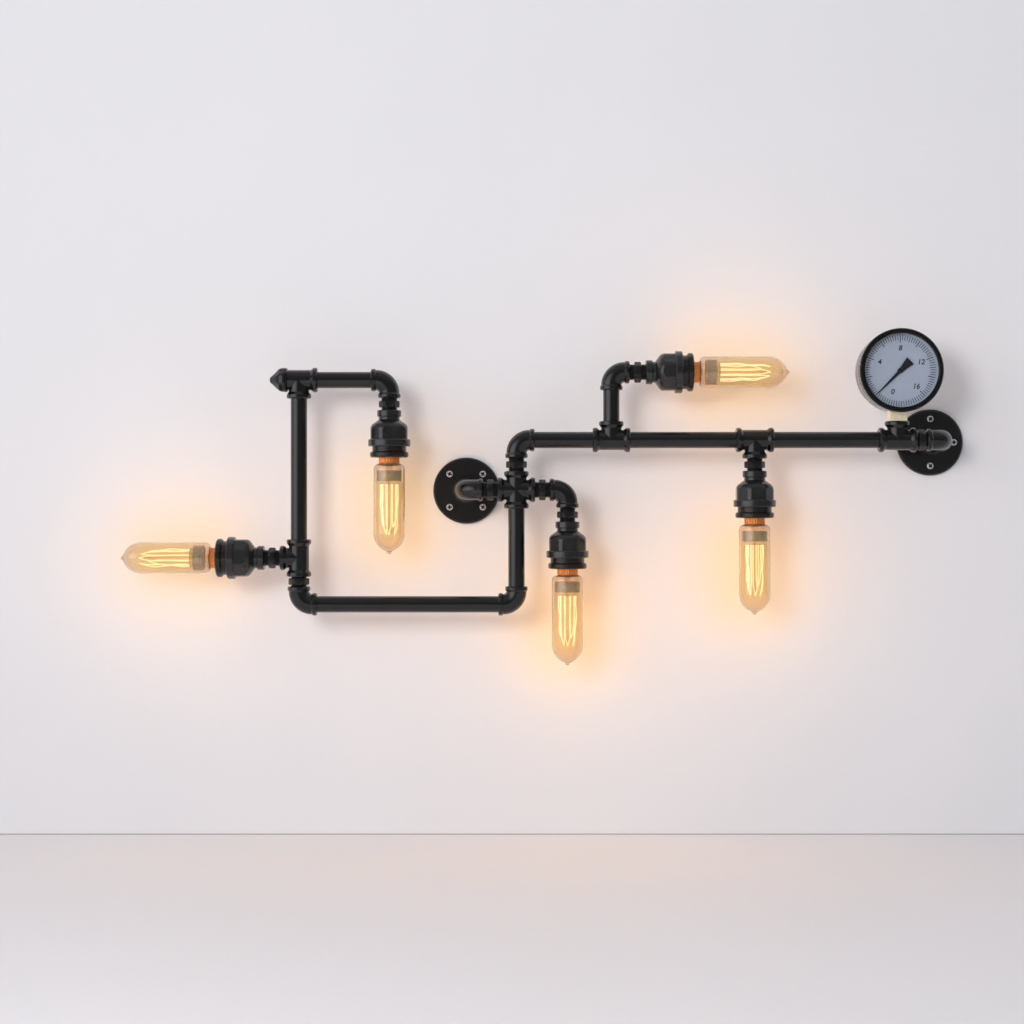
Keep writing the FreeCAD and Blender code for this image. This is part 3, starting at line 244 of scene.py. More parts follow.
# Gauge dial
DIAL_THICKNESS = 0.0008
PRINT_HEIGHT = 0.00004
TICK_OUTER = 0.0462
TICK_INNER = 0.0392
TICK_INNER_MIDDLE = 0.0382
TICK_INNER_LONG = 0.0366
TICK_WIDTH = 0.00082
TICK_WIDTH_LONG = 0.0011
SCALE_START = 225.0
SCALE_SWEEP = 270.0
SCALE_DIVISIONS = 64
LOWER_DIVISIONS = 21
SCALE_TOP_NUMBER = 16
SCALE_NUMBER_STEP = 4
NUMBER_RADIUS = 0.0290
ZERO_NUMBER_ANGLE = 250.0
NUMBER_HEIGHT = 0.0094
NUMBER_SLANT = 0.18
NUMBER_BOLD = 0.0002

# Gauge hand
HAND_LENGTH = 0.0410
HAND_TIP_WIDTH = 0.0010
HAND_ROOT_WIDTH = 0.0044
HAND_TAIL = 0.0180
HAND_TAIL_ROOT_WIDTH = 0.0052
HAND_TAIL_WIDTH = 0.0122
HAND_THICKNESS = 0.0006
HAND_RIDGE = 0.00018
HAND_HUB_RADIUS = 0.0036
HAND_CAP_HEIGHT = 0.0005

# Materials: the range of most noise, the shares of each axis that draw it out, edges and colours
NOISE_LOW = 0.3
NOISE_HIGH = 0.7
ANY_WAY = (1.0, 1.0, 1.0)
ROUND_GAUGE_AXIS = (0.02, 1.0, 0.02)
ACROSS_Z = (0.05, 0.05, 1.0)
BRUSHED_UP = (1.0, 1.0, 0.12)
EDGE_STARTS = 0.985
EDGE_FULL = 0.90
WHITE = (1.0, 1.0, 1.0)
BRASS = (0.72, 0.50, 0.22)
BRASS_DULL = (0.52, 0.34, 0.14)
BLACK_PAINT = (0.0022, 0.0022, 0.0024)
BLACK_PAINT_WORN = (0.0045, 0.0044, 0.0046)
RUBBED_PAINT = (0.045, 0.038, 0.032)

cad_low, cad_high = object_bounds()


# Places

def local_frame(origin, direction, face=FRONT):
    """A frame with its +Z along direction and its +X along face."""
    across = direction.cross(face)
    turn = Matrix((face, across, direction)).transposed().to_4x4()
    return Matrix.Translation(origin) @ turn


def on_circle(radius, angle, height=0.0):
    """The point at a radius, an angle and a height about +Z."""
    return Vector((radius * math.cos(angle), radius * math.sin(angle), height))


def centre_of(node):
    """The middle of a CAD node's box."""
    low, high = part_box(node)
    return (low + high) / 2


def reach_of(node, direction):
    """How far a CAD node reaches along a direction."""
    low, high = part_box(node)
    return max(low.dot(direction), high.dot(direction))


def ramp(value, low, high):
    """From 0 at low to 1 at high, and held there beyond them."""
    return min(max((value - low) / (high - low), 0.0), 1.0)


def lamp_frame(number):
    """A lamp's own frame: origin at its lampholder's rim, +Z out along the lamp, +X to the front."""
    joint = next(joint for joint in frame["joints"] if joint["name"] == "bulb_%d_withdraw" % number)
    axis = Vector(joint["axis"]).normalized()
    node = "bulb_glass_%d" % number
    middle = centre_of(node)
    near = -reach_of(node, -axis)
    rim = middle + axis * (near + GLASS_IN_CAP - middle.dot(axis))
    return local_frame(rim, axis)


def new_object(name, data):
    """A new object of the scene."""
    made = bpy.data.objects.new(name, data)
    bpy.context.scene.collection.objects.link(made)
    return made


# Materials

class Nodes:
    """The nodes of a material or the world, with short ways to add to them."""

    def __init__(self, owner):
        owner.use_nodes = True
        self.tree = owner.node_tree

    def put(self, socket, value):
        """Set a socket to a value or a colour of three numbers, or link another socket to it."""
        if isinstance(value, bpy.types.NodeSocket):
            self.tree.links.new(value, socket)
        elif socket.type == "RGBA":
            socket.default_value = (*value, 1.0)
        else:
            socket.default_value = value

    def add(self, kind, inputs=None, **settings):
        """A new shader node with its inputs and settings."""
        node = self.tree.nodes.new("ShaderNode" + kind)
        for name, value in settings.items():
            setattr(node, name, value)
        for socket, value in (inputs or {}).items():
            self.put(node.inputs[socket], value)
        return node

    def remap(self, value, low, high, out_low=0.0, out_high=1.0, **settings):
        """A value taken from one range to another and held there."""
        inputs = {"Value": value, "From Min": low, "From Max": high, "To Min": out_low, "To Max": out_high}
        return self.add("MapRange", inputs, **settings).outputs[0]

    def maths(self, operation, first, second):
        """One step of arithmetic."""
        return self.add("Math", {0: first, 1: second}, operation=operation).outputs[0]

    def vectors(self, operation, first, second=(0, 0, 0), output=0):
        """One step of arithmetic on vectors."""
        return self.add("VectorMath", {0: first, 1: second}, operation=operation).outputs[output]

    def mix(self, share, first, second):
        """A colour between two."""
        return self.add("Mix", {0: share, 6: first, 7: second}, data_type="RGBA").outputs[2]


class Finish(Nodes):
    """A material being made."""

    def __init__(self, name):
        self.material = bpy.data.materials.new(name)
        super().__init__(self.material)
        self.shader = self.tree.nodes["Principled BSDF"]
        self.output = self.tree.nodes["Material Output"]

    def surface(self, **values):
        """Set the shader's inputs, with _ for each space in their names, and give the material."""
        for name, value in values.items():
            self.put(self.shader.inputs[name.replace("_", " ")], value)
        return self.material

    def noise(self, size, detail=2.0, stretch=ANY_WAY):
        """Noise with spots of about a size in metres, drawn out along the axes of small shares."""
        place = self.vectors("MULTIPLY", self.add("TexCoord").outputs["Object"], stretch)
        inputs = {"Vector": place, "Scale": 1 / size, "Detail": detail}
        return self.add("TexNoise", inputs).outputs["Fac"]

    def varied(self, noise, low, high):
        """A number that goes from low to high over the spots of a noise."""
        return self.remap(noise, NOISE_LOW, NOISE_HIGH, low, high)

    def patchy(self, noise, first, second, low=NOISE_LOW, high=NOISE_HIGH):
        """A colour that goes from first to second over the spots of a noise."""
        return self.mix(self.remap(noise, low, high), first, second)

    def uneven(self, fine, spread, cloud, low, high):
        """A roughness from low to high over a cloud, with a fine grain's spread either side."""
        return self.maths("ADD", self.varied(fine, -spread, spread), self.varied(cloud, low, high))

    def rounded(self, radius):
        """The surface's direction with its edges rounded to a radius."""
        return self.add("Bevel", {"Radius": radius}, samples=4).outputs[0]

    def edges(self, rounded):
        """From 0 on flat faces to 1 on edges, judged by how far rounding turns the surface."""
        plain = self.add("NewGeometry").outputs["Normal"]
        return self.remap(self.vectors("DOT_PRODUCT", rounded, plain, "Value"), EDGE_STARTS, EDGE_FULL)

    def bump(self, height, depth, normal=None):
        """Small relief: height from 0 to 1 stands for a depth in metres."""
        inputs = {"Height": height, "Strength": 1.0, "Distance": depth}
        if normal is not None:
            inputs["Normal"] = normal
        return self.add("Bump", inputs).outputs[0]

    def clear_where(self, share, colour=WHITE):
        """Light passes straight through, with a colour, where a share is 1."""
        clear = self.add("BsdfTransparent", {"Color": colour}).outputs[0]
        both = self.add("MixShader", {0: share, 1: self.shader.outputs[0], 2: clear})
        self.put(self.output.inputs["Surface"], both.outputs[0])

    def one_sided(self):
        """The surface seen from its front only; from behind it isn't there."""
        self.clear_where(self.add("NewGeometry").outputs["Backfacing"])

    def lets_lamps_through(self, colour):
        """Light from lamps passes straight through, with a colour."""
        self.clear_where(self.add("LightPath").outputs["Is Shadow Ray"], colour)

    def absorbs(self, colour, density):
        """Colour the light by how far it runs inside the glass."""
        inside = self.add("VolumeAbsorption", {"Color": colour, "Density": density})
        self.put(self.output.inputs["Volume"], inside.outputs[0])


def near_lamps(finish, reach, warmth=None):
    """A mask for painted glow: how near a point is to a lit lamp, seen from the front, from 0 to 1 or the
    lamp's painted glow strength.
    """
    nearest = None
    for number in LAMPS:
        body = frame["bodies"]["bulb_%d" % number]
        place = finish.add("TexCoord", object=body).outputs["Object"]
        first, last = (lamp_frame(number) @ (UP * height) for height in LAMP_LIGHT_HEIGHTS[::2])
        half = [abs(a - b) / 2 for a, b in zip(first, last)]
        half[1] = PAINTED_GLOW_DEPTH
        away = finish.vectors("ABSOLUTE", finish.vectors("SUBTRACT", place, (first + last) / 2))
        away = finish.vectors("MAXIMUM", finish.vectors("SUBTRACT", away, half))
        away = finish.maths("DIVIDE", finish.vectors("LENGTH", away, output="Value"), reach)
        fall = finish.maths("MULTIPLY", finish.maths("MULTIPLY", away, away), -1.0)
        near = finish.maths("POWER", math.e, fall)
        if warmth:
            near = finish.maths("MULTIPLY", near, warmth[number])
        nearest = finish.maths("MAXIMUM", nearest, near) if nearest else near
    return nearest


def black_coat(name, dark, light, roughness, grain, depth, coat=1.0):
    """Satin black paint on metal: grain, uneven gloss, and paint rubbed thin along the edges."""
    finish = Finish(name)
    soft_edge = finish.rounded(0.0005)
    cloud = finish.noise(0.012, detail=3.0)
    grit = finish.noise(grain, detail=3.0)
    wear = finish.remap(finish.noise(0.004, detail=3.0), 0.42, 0.66)
    rubbed = finish.maths("MULTIPLY", finish.edges(soft_edge), wear)
    return finish.surface(
        Base_Color=finish.mix(rubbed, finish.patchy(cloud, dark, light), RUBBED_PAINT),
        Roughness=finish.uneven(grit, 0.07, cloud, roughness - 0.04, roughness + 0.05),
        Specular_IOR_Level=0.05,
        Coat_Weight=coat,
        Coat_Roughness=0.12,
        Coat_Normal=finish.bump(grit, depth * 0.6, soft_edge),
        Normal=finish.bump(grit, depth, soft_edge),
    )


def drawn_pipe_coat():
    """Satin black paint on drawn pipe: faint clouds and a fine skin."""
    finish = Finish("pipe")
    cloud = finish.noise(0.02, detail=3.0)
    skin = finish.noise(0.0006)
    soft_edge = finish.rounded(0.0004)
    return finish.surface(
        Base_Color=finish.patchy(cloud, BLACK_PAINT, (0.0040, 0.0039, 0.0041)),
        Roughness=finish.uneven(skin, 0.05, cloud, 0.33, 0.42),
        Specular_IOR_Level=0.05,
        Coat_Weight=1.0,
        Coat_Roughness=0.17,
        Coat_Normal=finish.bump(skin, 5e-6, soft_edge),
        Normal=finish.bump(skin, 1.2e-5, soft_edge),
    )


def moulded_black(name):
    """Moulded black resin, with a fine skin."""
    finish = Finish(name)
    skin = finish.noise(0.0012)
    cloud = finish.noise(0.015)
    return finish.surface(
        Base_Color=finish.patchy(cloud, (0.0095, 0.0060, 0.0042), (0.0135, 0.0085, 0.0060)),
        Roughness=finish.varied(skin, 0.20, 0.30),
        Specular_IOR_Level=0.4,
        Normal=finish.bump(skin, 1e-5, finish.rounded(0.0006)),
    )


def metal(name, colour, darker, roughness, line_stretch=ANY_WAY, metallic=1.0, edge=WHITE):
    """Bare metal with fine machining lines and duller patches."""
    finish = Finish(name)
    lines = finish.noise(0.0004, stretch=line_stretch)
    cloud = finish.noise(0.006, detail=3.0)
    return finish.surface(
        Base_Color=finish.patchy(cloud, colour, darker, low=0.35),
        Metallic=metallic,
        Specular_Tint=edge,
        Roughness=finish.uneven(lines, 0.06, cloud, roughness, roughness + 0.1),
        Normal=finish.bump(lines, 6e-6, finish.rounded(0.0003)),
    )


def warm_brass():
    """The lamp cap's brass, coloured a deep orange that is partly painted glow from the lit lamp, with small
    duller scuffs.
    """
    finish = Finish("lamp_cap")
    scuff = finish.noise(0.0012)
    return finish.surface(
        # Painted glow: the orange of the brass stands partly for the lamp's warm light on it
        Base_Color=finish.patchy(scuff, (0.86, 0.31, 0.09), (0.72, 0.235, 0.062), low=0.35),
        Metallic=0.75,
        Roughness=finish.varied(scuff, 0.24, 0.36),
        Normal=finish.bump(scuff, 1.2e-5, finish.rounded(0.0003)),
    )


def porcelain():
    """Glazed white ceramic of the lampholder's core."""
    finish = Finish("core")
    cloud = finish.noise(0.004, detail=3.0)
    return finish.surface(
        Base_Color=finish.patchy(cloud, (0.78, 0.76, 0.70), (0.70, 0.67, 0.60)),
        Roughness=finish.varied(cloud, 0.18, 0.32),
        Coat_Weight=0.4,
        Normal=finish.bump(cloud, 2e-5, finish.rounded(0.0004)),
    )


def lamp_glass():
    """Cloudy amber glass, with painted glow beside the filament: a deeper amber colour and a faint light of
    its own.
    """
    finish = Finish("lamp_glass")
    cloud = finish.noise(0.012)
    # Painted glow: the glass is coloured deeper amber and given a faint emission near the filament
    painted_glass_glow = near_lamps(finish, GLASS_PAINTED_GLOW_REACH)
    pale = finish.patchy(cloud, (0.930, 0.842, 0.785), (0.915, 0.825, 0.757))
    painted_glow_amber = finish.patchy(cloud, (0.882, 0.745, 0.605), (0.867, 0.730, 0.580))
    finish.lets_lamps_through((0.99, 0.965, 0.92))
    finish.absorbs((0.68, 0.36, 0.0), 106.0)
    return finish.surface(
        Base_Color=finish.mix(painted_glass_glow, pale, painted_glow_amber),
        Emission_Color=(0.80, 1.0, 0.30),
        Emission_Strength=finish.maths("MULTIPLY", painted_glass_glow, 0.055),
        Roughness=0.02,
        IOR=1.5,
        Transmission_Weight=0.975,
        Normal=finish.bump(cloud, 3e-5),
    )


def window_glass():
    """The gauge's flat clear window, a little smeared."""
    finish = Finish("gauge_window")
    finish.lets_lamps_through((0.96, 0.98, 0.99))
    return finish.surface(
        Base_Color=(0.97, 0.99, 1.0),
        Roughness=finish.varied(finish.noise(0.02, detail=3.0), 0.0, 0.015),
        IOR=1.45,
        Transmission_Weight=1.0,
    )


def clear_glass():
    """The lamp's inner stem of clear glass."""
    finish = Finish("stem_glass")
    cloud = finish.noise(0.004)
    finish.lets_lamps_through((1.0, 0.94, 0.85))
    return finish.surface(
        Base_Color=(0.98, 0.76, 0.50),
        Roughness=finish.varied(cloud, 0.02, 0.10),
        IOR=1.45,
        Transmission_Weight=1.0,
        Normal=finish.bump(cloud, 5e-5),
    )


def smoked_sleeve():
    """The thin grey-beige sleeve that half hides the wires' roots."""
    finish = Finish("sleeve_film")
    cloud = finish.noise(0.006, detail=3.0)
    return finish.surface(
        Base_Color=finish.patchy(cloud, (0.52, 0.40, 0.31), (0.61, 0.48, 0.37)),
        Metallic=0.5,
        Roughness=finish.varied(cloud, 0.17, 0.27),
        Alpha=finish.varied(cloud, 0.68, 0.80),
    )


def glowing():
    """The hot filament: yellow-white, a little less hot in places."""
    finish = Finish("filament")
    heat = finish.noise(0.008)
    finish.material.cycles.emission_sampling = "NONE"
    return finish.surface(
        Base_Color=(0.25, 0.16, 0.08),
        Roughness=0.6,
        Emission_Color=finish.patchy(heat, (1.0, 0.77, 0.46), (1.0, 0.83, 0.54)),
        Emission_Strength=1.55,
    )


def dial_paint():
    """Matt pale blue-white paint on the dial plate."""
    finish = Finish("gauge_dial")
    cloud = finish.noise(0.015, detail=3.0)
    skin = finish.noise(0.0005)
    return finish.surface(
        Base_Color=finish.patchy(cloud, (0.466, 0.503, 0.606), (0.490, 0.527, 0.634)),
        Roughness=finish.varied(skin, 0.42, 0.55),
        Normal=finish.bump(skin, 6e-6),
    )


def print_ink():
    """Black ink of the dial's ticks and numbers, a little worn."""
    finish = Finish("ink")
    worn = finish.noise(0.0012)
    return finish.surface(
        Base_Color=finish.patchy(worn, (0.008, 0.009, 0.012), (0.022, 0.024, 0.030), low=0.35, high=0.75),
        Roughness=finish.varied(worn, 0.45, 0.6),
    )


def needle_paint():
    """Matt black paint of the hand."""
    finish = Finish("gauge_needle")
    skin = finish.noise(0.0008)
    return finish.surface(
        Base_Color=finish.patchy(skin, (0.004, 0.004, 0.005), (0.008, 0.008, 0.009)),
        Roughness=finish.varied(skin, 0.35, 0.5),
        Specular_IOR_Level=0.2,
        Normal=finish.bump(skin, 6e-6, finish.rounded(0.0002)),
    )


def gloss_enamel():
    """Glossy black enamel of the bezel."""
    finish = Finish("gauge_bezel")
    orange_peel = finish.noise(0.003)
    return finish.surface(
        Base_Color=finish.patchy(orange_peel, (0.002, 0.002, 0.0025), (0.0035, 0.0035, 0.004)),
        Roughness=finish.varied(orange_peel, 0.24, 0.32),
        Specular_IOR_Level=0.05,
        Coat_Weight=0.7,
        Coat_Roughness=0.08,
        Normal=finish.bump(orange_peel, 1e-5, finish.rounded(0.0007)),
    )


def wall_paint():
    """The plain pale wall, with painted glow: its colour turns warm beside the lit lamps, standing in for
    their light.
    """
    finish = Finish("wall_paint")
    plain = finish.patchy(finish.noise(0.35), (0.770, 0.768, 0.792), (0.790, 0.785, 0.810))
    brushed = finish.noise(0.004, detail=3.0, stretch=BRUSHED_UP)
    # Painted glow: the wall's colour is tinted warm near each lamp, in place of the lamps' own light
    warm = finish.maths("MULTIPLY", near_lamps(finish, WALL_PAINTED_GLOW_REACH, PAINTED_GLOW_STRENGTH), 0.9)
    finish.one_sided()
    return finish.surface(
        Base_Color=finish.mix(warm, plain, (0.88, 0.72, 0.48)),
        Roughness=0.9,
        Specular_IOR_Level=0.2,
        Normal=finish.bump(brushed, 6e-5),
    )


def floor_paint():
    """The pale floor, a little shiny."""
    finish = Finish("floor_paint")
    finish.one_sided()
    return finish.surface(
        Base_Color=finish.patchy(finish.noise(0.3), (0.868, 0.858, 0.880), (0.880, 0.869, 0.892)),
        Roughness=0.45,
        Specular_IOR_Level=0.3,
    )


def joint_shade():
    """The dark line where the wall stands on the floor."""
    finish = Finish("joint_shade")
    finish.one_sided()
    return finish.surface(Base_Color=(0.20, 0.19, 0.19), Roughness=0.8)


finishes = {
    "flange": black_coat("flange", (0.0050, 0.0046, 0.0044), (0.0080, 0.0074, 0.0070), 0.40, 0.0011, 4e-5),
    "fitting": black_coat("fitting", BLACK_PAINT, BLACK_PAINT_WORN, 0.42, 0.0013, 7e-5),
    "end_cap": black_coat("end_cap", BLACK_PAINT, BLACK_PAINT_WORN, 0.42, 0.0013, 6e-5),
    "pipe": drawn_pipe_coat(),
    "hexagon": black_coat("hexagon", (0.0060, 0.0059, 0.0061), (0.0100, 0.0098, 0.0100), 0.38, 0.0007, 2e-5,
                          coat=0.55),
    "reducer": black_coat("reducer", (0.0094, 0.0092, 0.0097), (0.0155, 0.0151, 0.0158), 0.40, 0.0013, 5e-5),
    "skirt": moulded_black("skirt"),
    "core": porcelain(),
    "contact": metal("contact", BRASS, BRASS_DULL, 0.26),
    "screw": metal("screw", (0.86, 0.86, 0.88), (0.56, 0.56, 0.58), 0.18, metallic=0.55),
    "lamp_cap": warm_brass(),
    "lamp_glass": lamp_glass(),
    "filament": glowing(),
    "gauge_case": metal("gauge_case", (0.62, 0.62, 0.63), (0.54, 0.54, 0.55), 0.26, ROUND_GAUGE_AXIS,
                        edge=(0.62, 0.62, 0.64)),
    "gauge_bezel": gloss_enamel(),
    "gauge_window": window_glass(),
    "gauge_dial": dial_paint(),
    "gauge_needle": needle_paint(),
    "gauge_stem": metal("gauge_stem", (1.0, 0.90, 0.70), (0.92, 0.76, 0.50), 0.24, ACROSS_Z, metallic=0.35),
    "gauge_works": metal("gauge_works", BRASS, BRASS_DULL, 0.30),
}
stem_glass = clear_glass()
sleeve_film = smoked_sleeve()
mount_metal = metal("mount_metal", (0.66, 0.47, 0.37), (0.53, 0.38, 0.30), 0.34)
black_insulator = moulded_black("black_insulator")
ink = print_ink()


# Mesh building

class Shape:
    """A mesh being built in a frame: its points, its faces and each face's material number."""

    def __init__(self, place=Matrix()):
        self.place = place
        self.points = []
        self.faces = []
        self.kinds = []

    def face(self, corners, kind=0):
        """One face, with repeated corners dropped and faces of no area left out."""
        corners = list(dict.fromkeys(corners))
        if len(corners) > 2:
            self.faces.append(corners)
            self.kinds.append(kind)

    def ring(self, points):
        """Add points and give their numbers."""
        first = len(self.points)
        self.points.extend(self.place @ point for point in points)
        return list(range(first, len(self.points)))

    def flat(self, outline, height):
        """A ring of (x, y) points at one height."""
        return self.ring([Vector((x, y, height)) for x, y in outline])

    def hoop(self, radii, height):
        """A ring of points at equal angles about +Z, each at its own radius."""
        turn = WHOLE_TURN / len(radii)
        return self.ring([on_circle(radius, turn * step, height) for step, radius in enumerate(radii)])

    def bridge(self, low, high, kind=0):
        """Faces between two rings of points; a ring of one point makes a fan."""
        steps = max(len(low), len(high))
        for step in range(steps):
            after = (step + 1) % steps
            self.face([low[step % len(low)], low[after % len(low)],
                       high[after % len(high)], high[step % len(high)]], kind)

    def skin(self, rings, kind=0, closed=False):
        """Faces between each ring and the next, and over both ends of a closed skin."""
        for below, above in zip(rings, rings[1:]):
            self.bridge(below, above, kind)
        if closed:
            self.face(rings[0][::-1], kind)
            self.face(rings[-1], kind)

    def lathe(self, profile, sides, kind=0):
        """Turn a profile of (radius, height) points about +Z."""
        rings = [self.hoop([radius] * (sides if radius else 1), height) for radius, height in profile]
        self.skin(rings, kind)

    def threaded(self, low, high, radius_at, sides, rows):
        """A surface round +Z whose radius depends on the angle and the height."""
        rings = []
        for row in range(rows + 1):
            height = low + (high - low) * row / rows
            radii = [radius_at(WHOLE_TURN * step / sides, height) for step in range(sides)]
            rings.append(self.hoop(radii, height))
        self.skin(rings)
        return rings

    def prism(self, outline, low, high):
        """A solid with a flat outline of (x, y) points, between two heights."""
        self.skin([self.flat(outline, height) for height in (low, high)], closed=True)

    def wire(self, path, radius, sides, kind=0):
        """A round wire along a path, closed at both ends."""
        rings = []
        side = (path[1] - path[0]).orthogonal()
        for index, point in enumerate(path):
            before = path[max(index - 1, 0)]
            after = path[min(index + 1, len(path) - 1)]
            run = (after - before).normalized()
            side = (side - run * side.dot(run)).normalized()
            across = run.cross(side)
            angles = [WHOLE_TURN * step / sides for step in range(sides)]
            rings.append(self.ring([point + (side * math.cos(angle) + across * math.sin(angle)) * radius
                                    for angle in angles]))
        self.skin(rings, kind, closed=True)

    def flat_ring(self, outer, inner, height):
        """A flat ring of triangles between two outlines about +Z, walked round together by angle."""
        rings = []
        walk = []
        for which, outline in enumerate((outer, inner)):
            rings.append(self.flat(outline, height))
            for (x, y), corner in zip(outline, rings[-1]):
                walk.append((math.atan2(y, x) % WHOLE_TURN, which, corner))
        walk.sort()
        last = {which: corner for _, which, corner in walk}
        for _, which, corner in walk:
            self.face([last[0], last[1], corner])
            last[which] = corner
        return rings

    def piece(self, name, body, materials, slot, replaced=(), sharp=35.0):
        """The mesh as an object that rides on a body and stands for the CAD nodes it replaces."""
        mesh = bpy.data.meshes.new(name)
        mesh.from_pydata(self.points, [], self.faces)
        for material in materials:
            mesh.materials.append(material)
        mesh.polygons.foreach_set("material_index", self.kinds)
        mesh.polygons.foreach_set("use_smooth", [True] * len(self.faces))
        editable = bmesh.new()
        editable.from_mesh(mesh)
        bmesh.ops.recalc_face_normals(editable, faces=editable.faces)
        editable.to_mesh(mesh)
        editable.free()
        mesh.set_sharp_from_angle(angle=math.radians(sharp))
        shown = new_object(name, mesh)
        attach(shown, body)
        if replaced:
            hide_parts(*replaced)
        return shown


# Lamps

def screw_phase(angle, height, pitch):
    """Where a point lies between two ridges of a right-hand screw, from 0 to 1."""
    return (height / pitch - angle / WHOLE_TURN) % 1.0


def rolled_wave(angle, height):
    """The lamps' rolled thread, from 0 at a root to 1 at a crest."""
    return 0.5 - 0.5 * math.cos(WHOLE_TURN * screw_phase(angle, height, CAP_THREAD_PITCH))


def cap_radius(angle, height):
    """The rolled thread of a lamp's cap, running out at both ends."""
    end = CAP_COLLAR_START - 0.2 * CAP_THREAD_FADE
    fade = ramp(height, CAP_THREAD_START, CAP_THREAD_START + CAP_THREAD_FADE)
    fade *= ramp(height, end, end - CAP_THREAD_FADE)
    return CAP_THREAD_ROOT + CAP_THREAD_DEPTH * fade * rolled_wave(angle, height)


def flute_radius(angle, height):
    """The fine upright flutes round the cap's collar, the same at every height."""
    return CAP_FLUTE_RADIUS - CAP_FLUTE_DEPTH * math.cos(CAP_FLUTES * angle)


def make_lamp_cap(number, place):
    """A lamp's cap: contact button, black insulator, rolled thread and fluted collar."""
    shape = Shape(place)
    brass, black = range(2)
    button = CAP_TIP + CAP_CONTACT_HEIGHT
    shape.lathe([
        (0, CAP_TIP), (CAP_CONTACT_RADIUS * 0.8, CAP_TIP),
        (CAP_CONTACT_RADIUS, CAP_TIP + 0.4 * CAP_CONTACT_HEIGHT), (CAP_CONTACT_RADIUS, button),
    ], sides=32, kind=brass)
    start = CAP_THREAD_START
    rise = CAP_CONE_RISE
    shape.lathe([
        (CAP_CONTACT_RADIUS, button),
        (CAP_CONTACT_RADIUS + CAP_CONTACT_HEIGHT, CAP_TIP + 0.9 * CAP_CONTACT_HEIGHT),
        (CAP_CONE_RADIUS - CAP_CONE_STEP, start - 4 * rise), (CAP_CONE_RADIUS, start - 2 * rise),
    ], sides=48, kind=black)
    shape.lathe([
        (CAP_CONE_RADIUS, start - 2 * rise), (CAP_CONE_RADIUS + CAP_CONE_STEP, start - rise),
        (CAP_THREAD_ROOT, start),
    ], sides=64, kind=brass)
    shape.threaded(start, CAP_COLLAR_START, cap_radius, sides=64, rows=48)
    edge = CAP_COLLAR_RADIUS
    low = CAP_COLLAR_START
    bead = CAP_BEAD
    shape.lathe([
        (CAP_THREAD_ROOT, low), (edge - 0.6 * bead, low), (edge, low + bead), (edge, low + 2 * bead),
        (edge - 0.8 * bead, low + 2.5 * bead),
    ], sides=96, kind=brass)
    high = CAP_SHOW
    shape.threaded(low + 2.5 * bead, high - 2.5 * bead, flute_radius, sides=192, rows=6)
    lining = GLASS_NECK_RADIUS + GLASS_CLEARANCE
    shape.lathe([
        (edge - 0.8 * bead, high - 2.5 * bead), (edge, high - 2 * bead), (edge, high - bead),
        (edge - 0.8 * bead, high), (lining, high), (lining, high - CAP_LINING),
    ], sides=96, kind=brass)
    return shape.piece("lamp_cap_%d" % number, "bulb_%d" % number, [finishes["lamp_cap"], black_insulator],
                       "lamp_cap", ["bulb_cap_%d" % number])


def filament_loops():
    """Each loop's angle, its foot's height, and the angles of its two strands at the spacer."""
    for loop in range(FILAMENT_LOOPS):
        angle = WHOLE_TURN * loop / FILAMENT_LOOPS
        spread = FILAMENT_LOOP_SHARE * WHOLE_TURN / FILAMENT_LOOPS
        yield angle, FILAMENT_SHORT_END if loop % 2 else FILAMENT_LONG_END, (angle - spread, angle + spread)


def strand_path(top_angle, foot_angle, foot_height, chance):
    """One strand from the spacer to its foot hook, nearly straight until close to it."""
    points = []
    wave = chance.uniform(0, WHOLE_TURN)
    sag = FILAMENT_SAG * chance.uniform(0.6, 1.4)
    for step in range(FILAMENT_STEPS + 1):
        along = step / FILAMENT_STEPS
        gather = ramp(along, FILAMENT_GATHER_START, 1.0) ** 2
        angle = top_angle + (foot_angle - top_angle) * gather
        taper = FILAMENT_EVEN_TAPER * along + (1 - FILAMENT_EVEN_TAPER) * gather
        radius = FILAMENT_TOP_RADIUS + (FILAMENT_FOOT_RADIUS - FILAMENT_TOP_RADIUS) * taper
        radius += sag * math.sin(wave + along * FILAMENT_RIPPLES) * math.sin(math.pi * along)
        points.append(on_circle(radius, angle, SPACER_HIGH + (foot_height - SPACER_HIGH) * along))
    return points


def make_filament(number, place):
    """A lamp's glowing strands, two to each loop."""
    shape = Shape(place)
    chance = random.Random(number)
    for angle, foot_height, tops in filament_loops():
        for top in tops:
            shape.wire(strand_path(top, angle, foot_height, chance), FILAMENT_RADIUS, sides=8)
    return shape.piece("filament_%d" % number, "bulb_%d" % number, [finishes["filament"]], "filament")


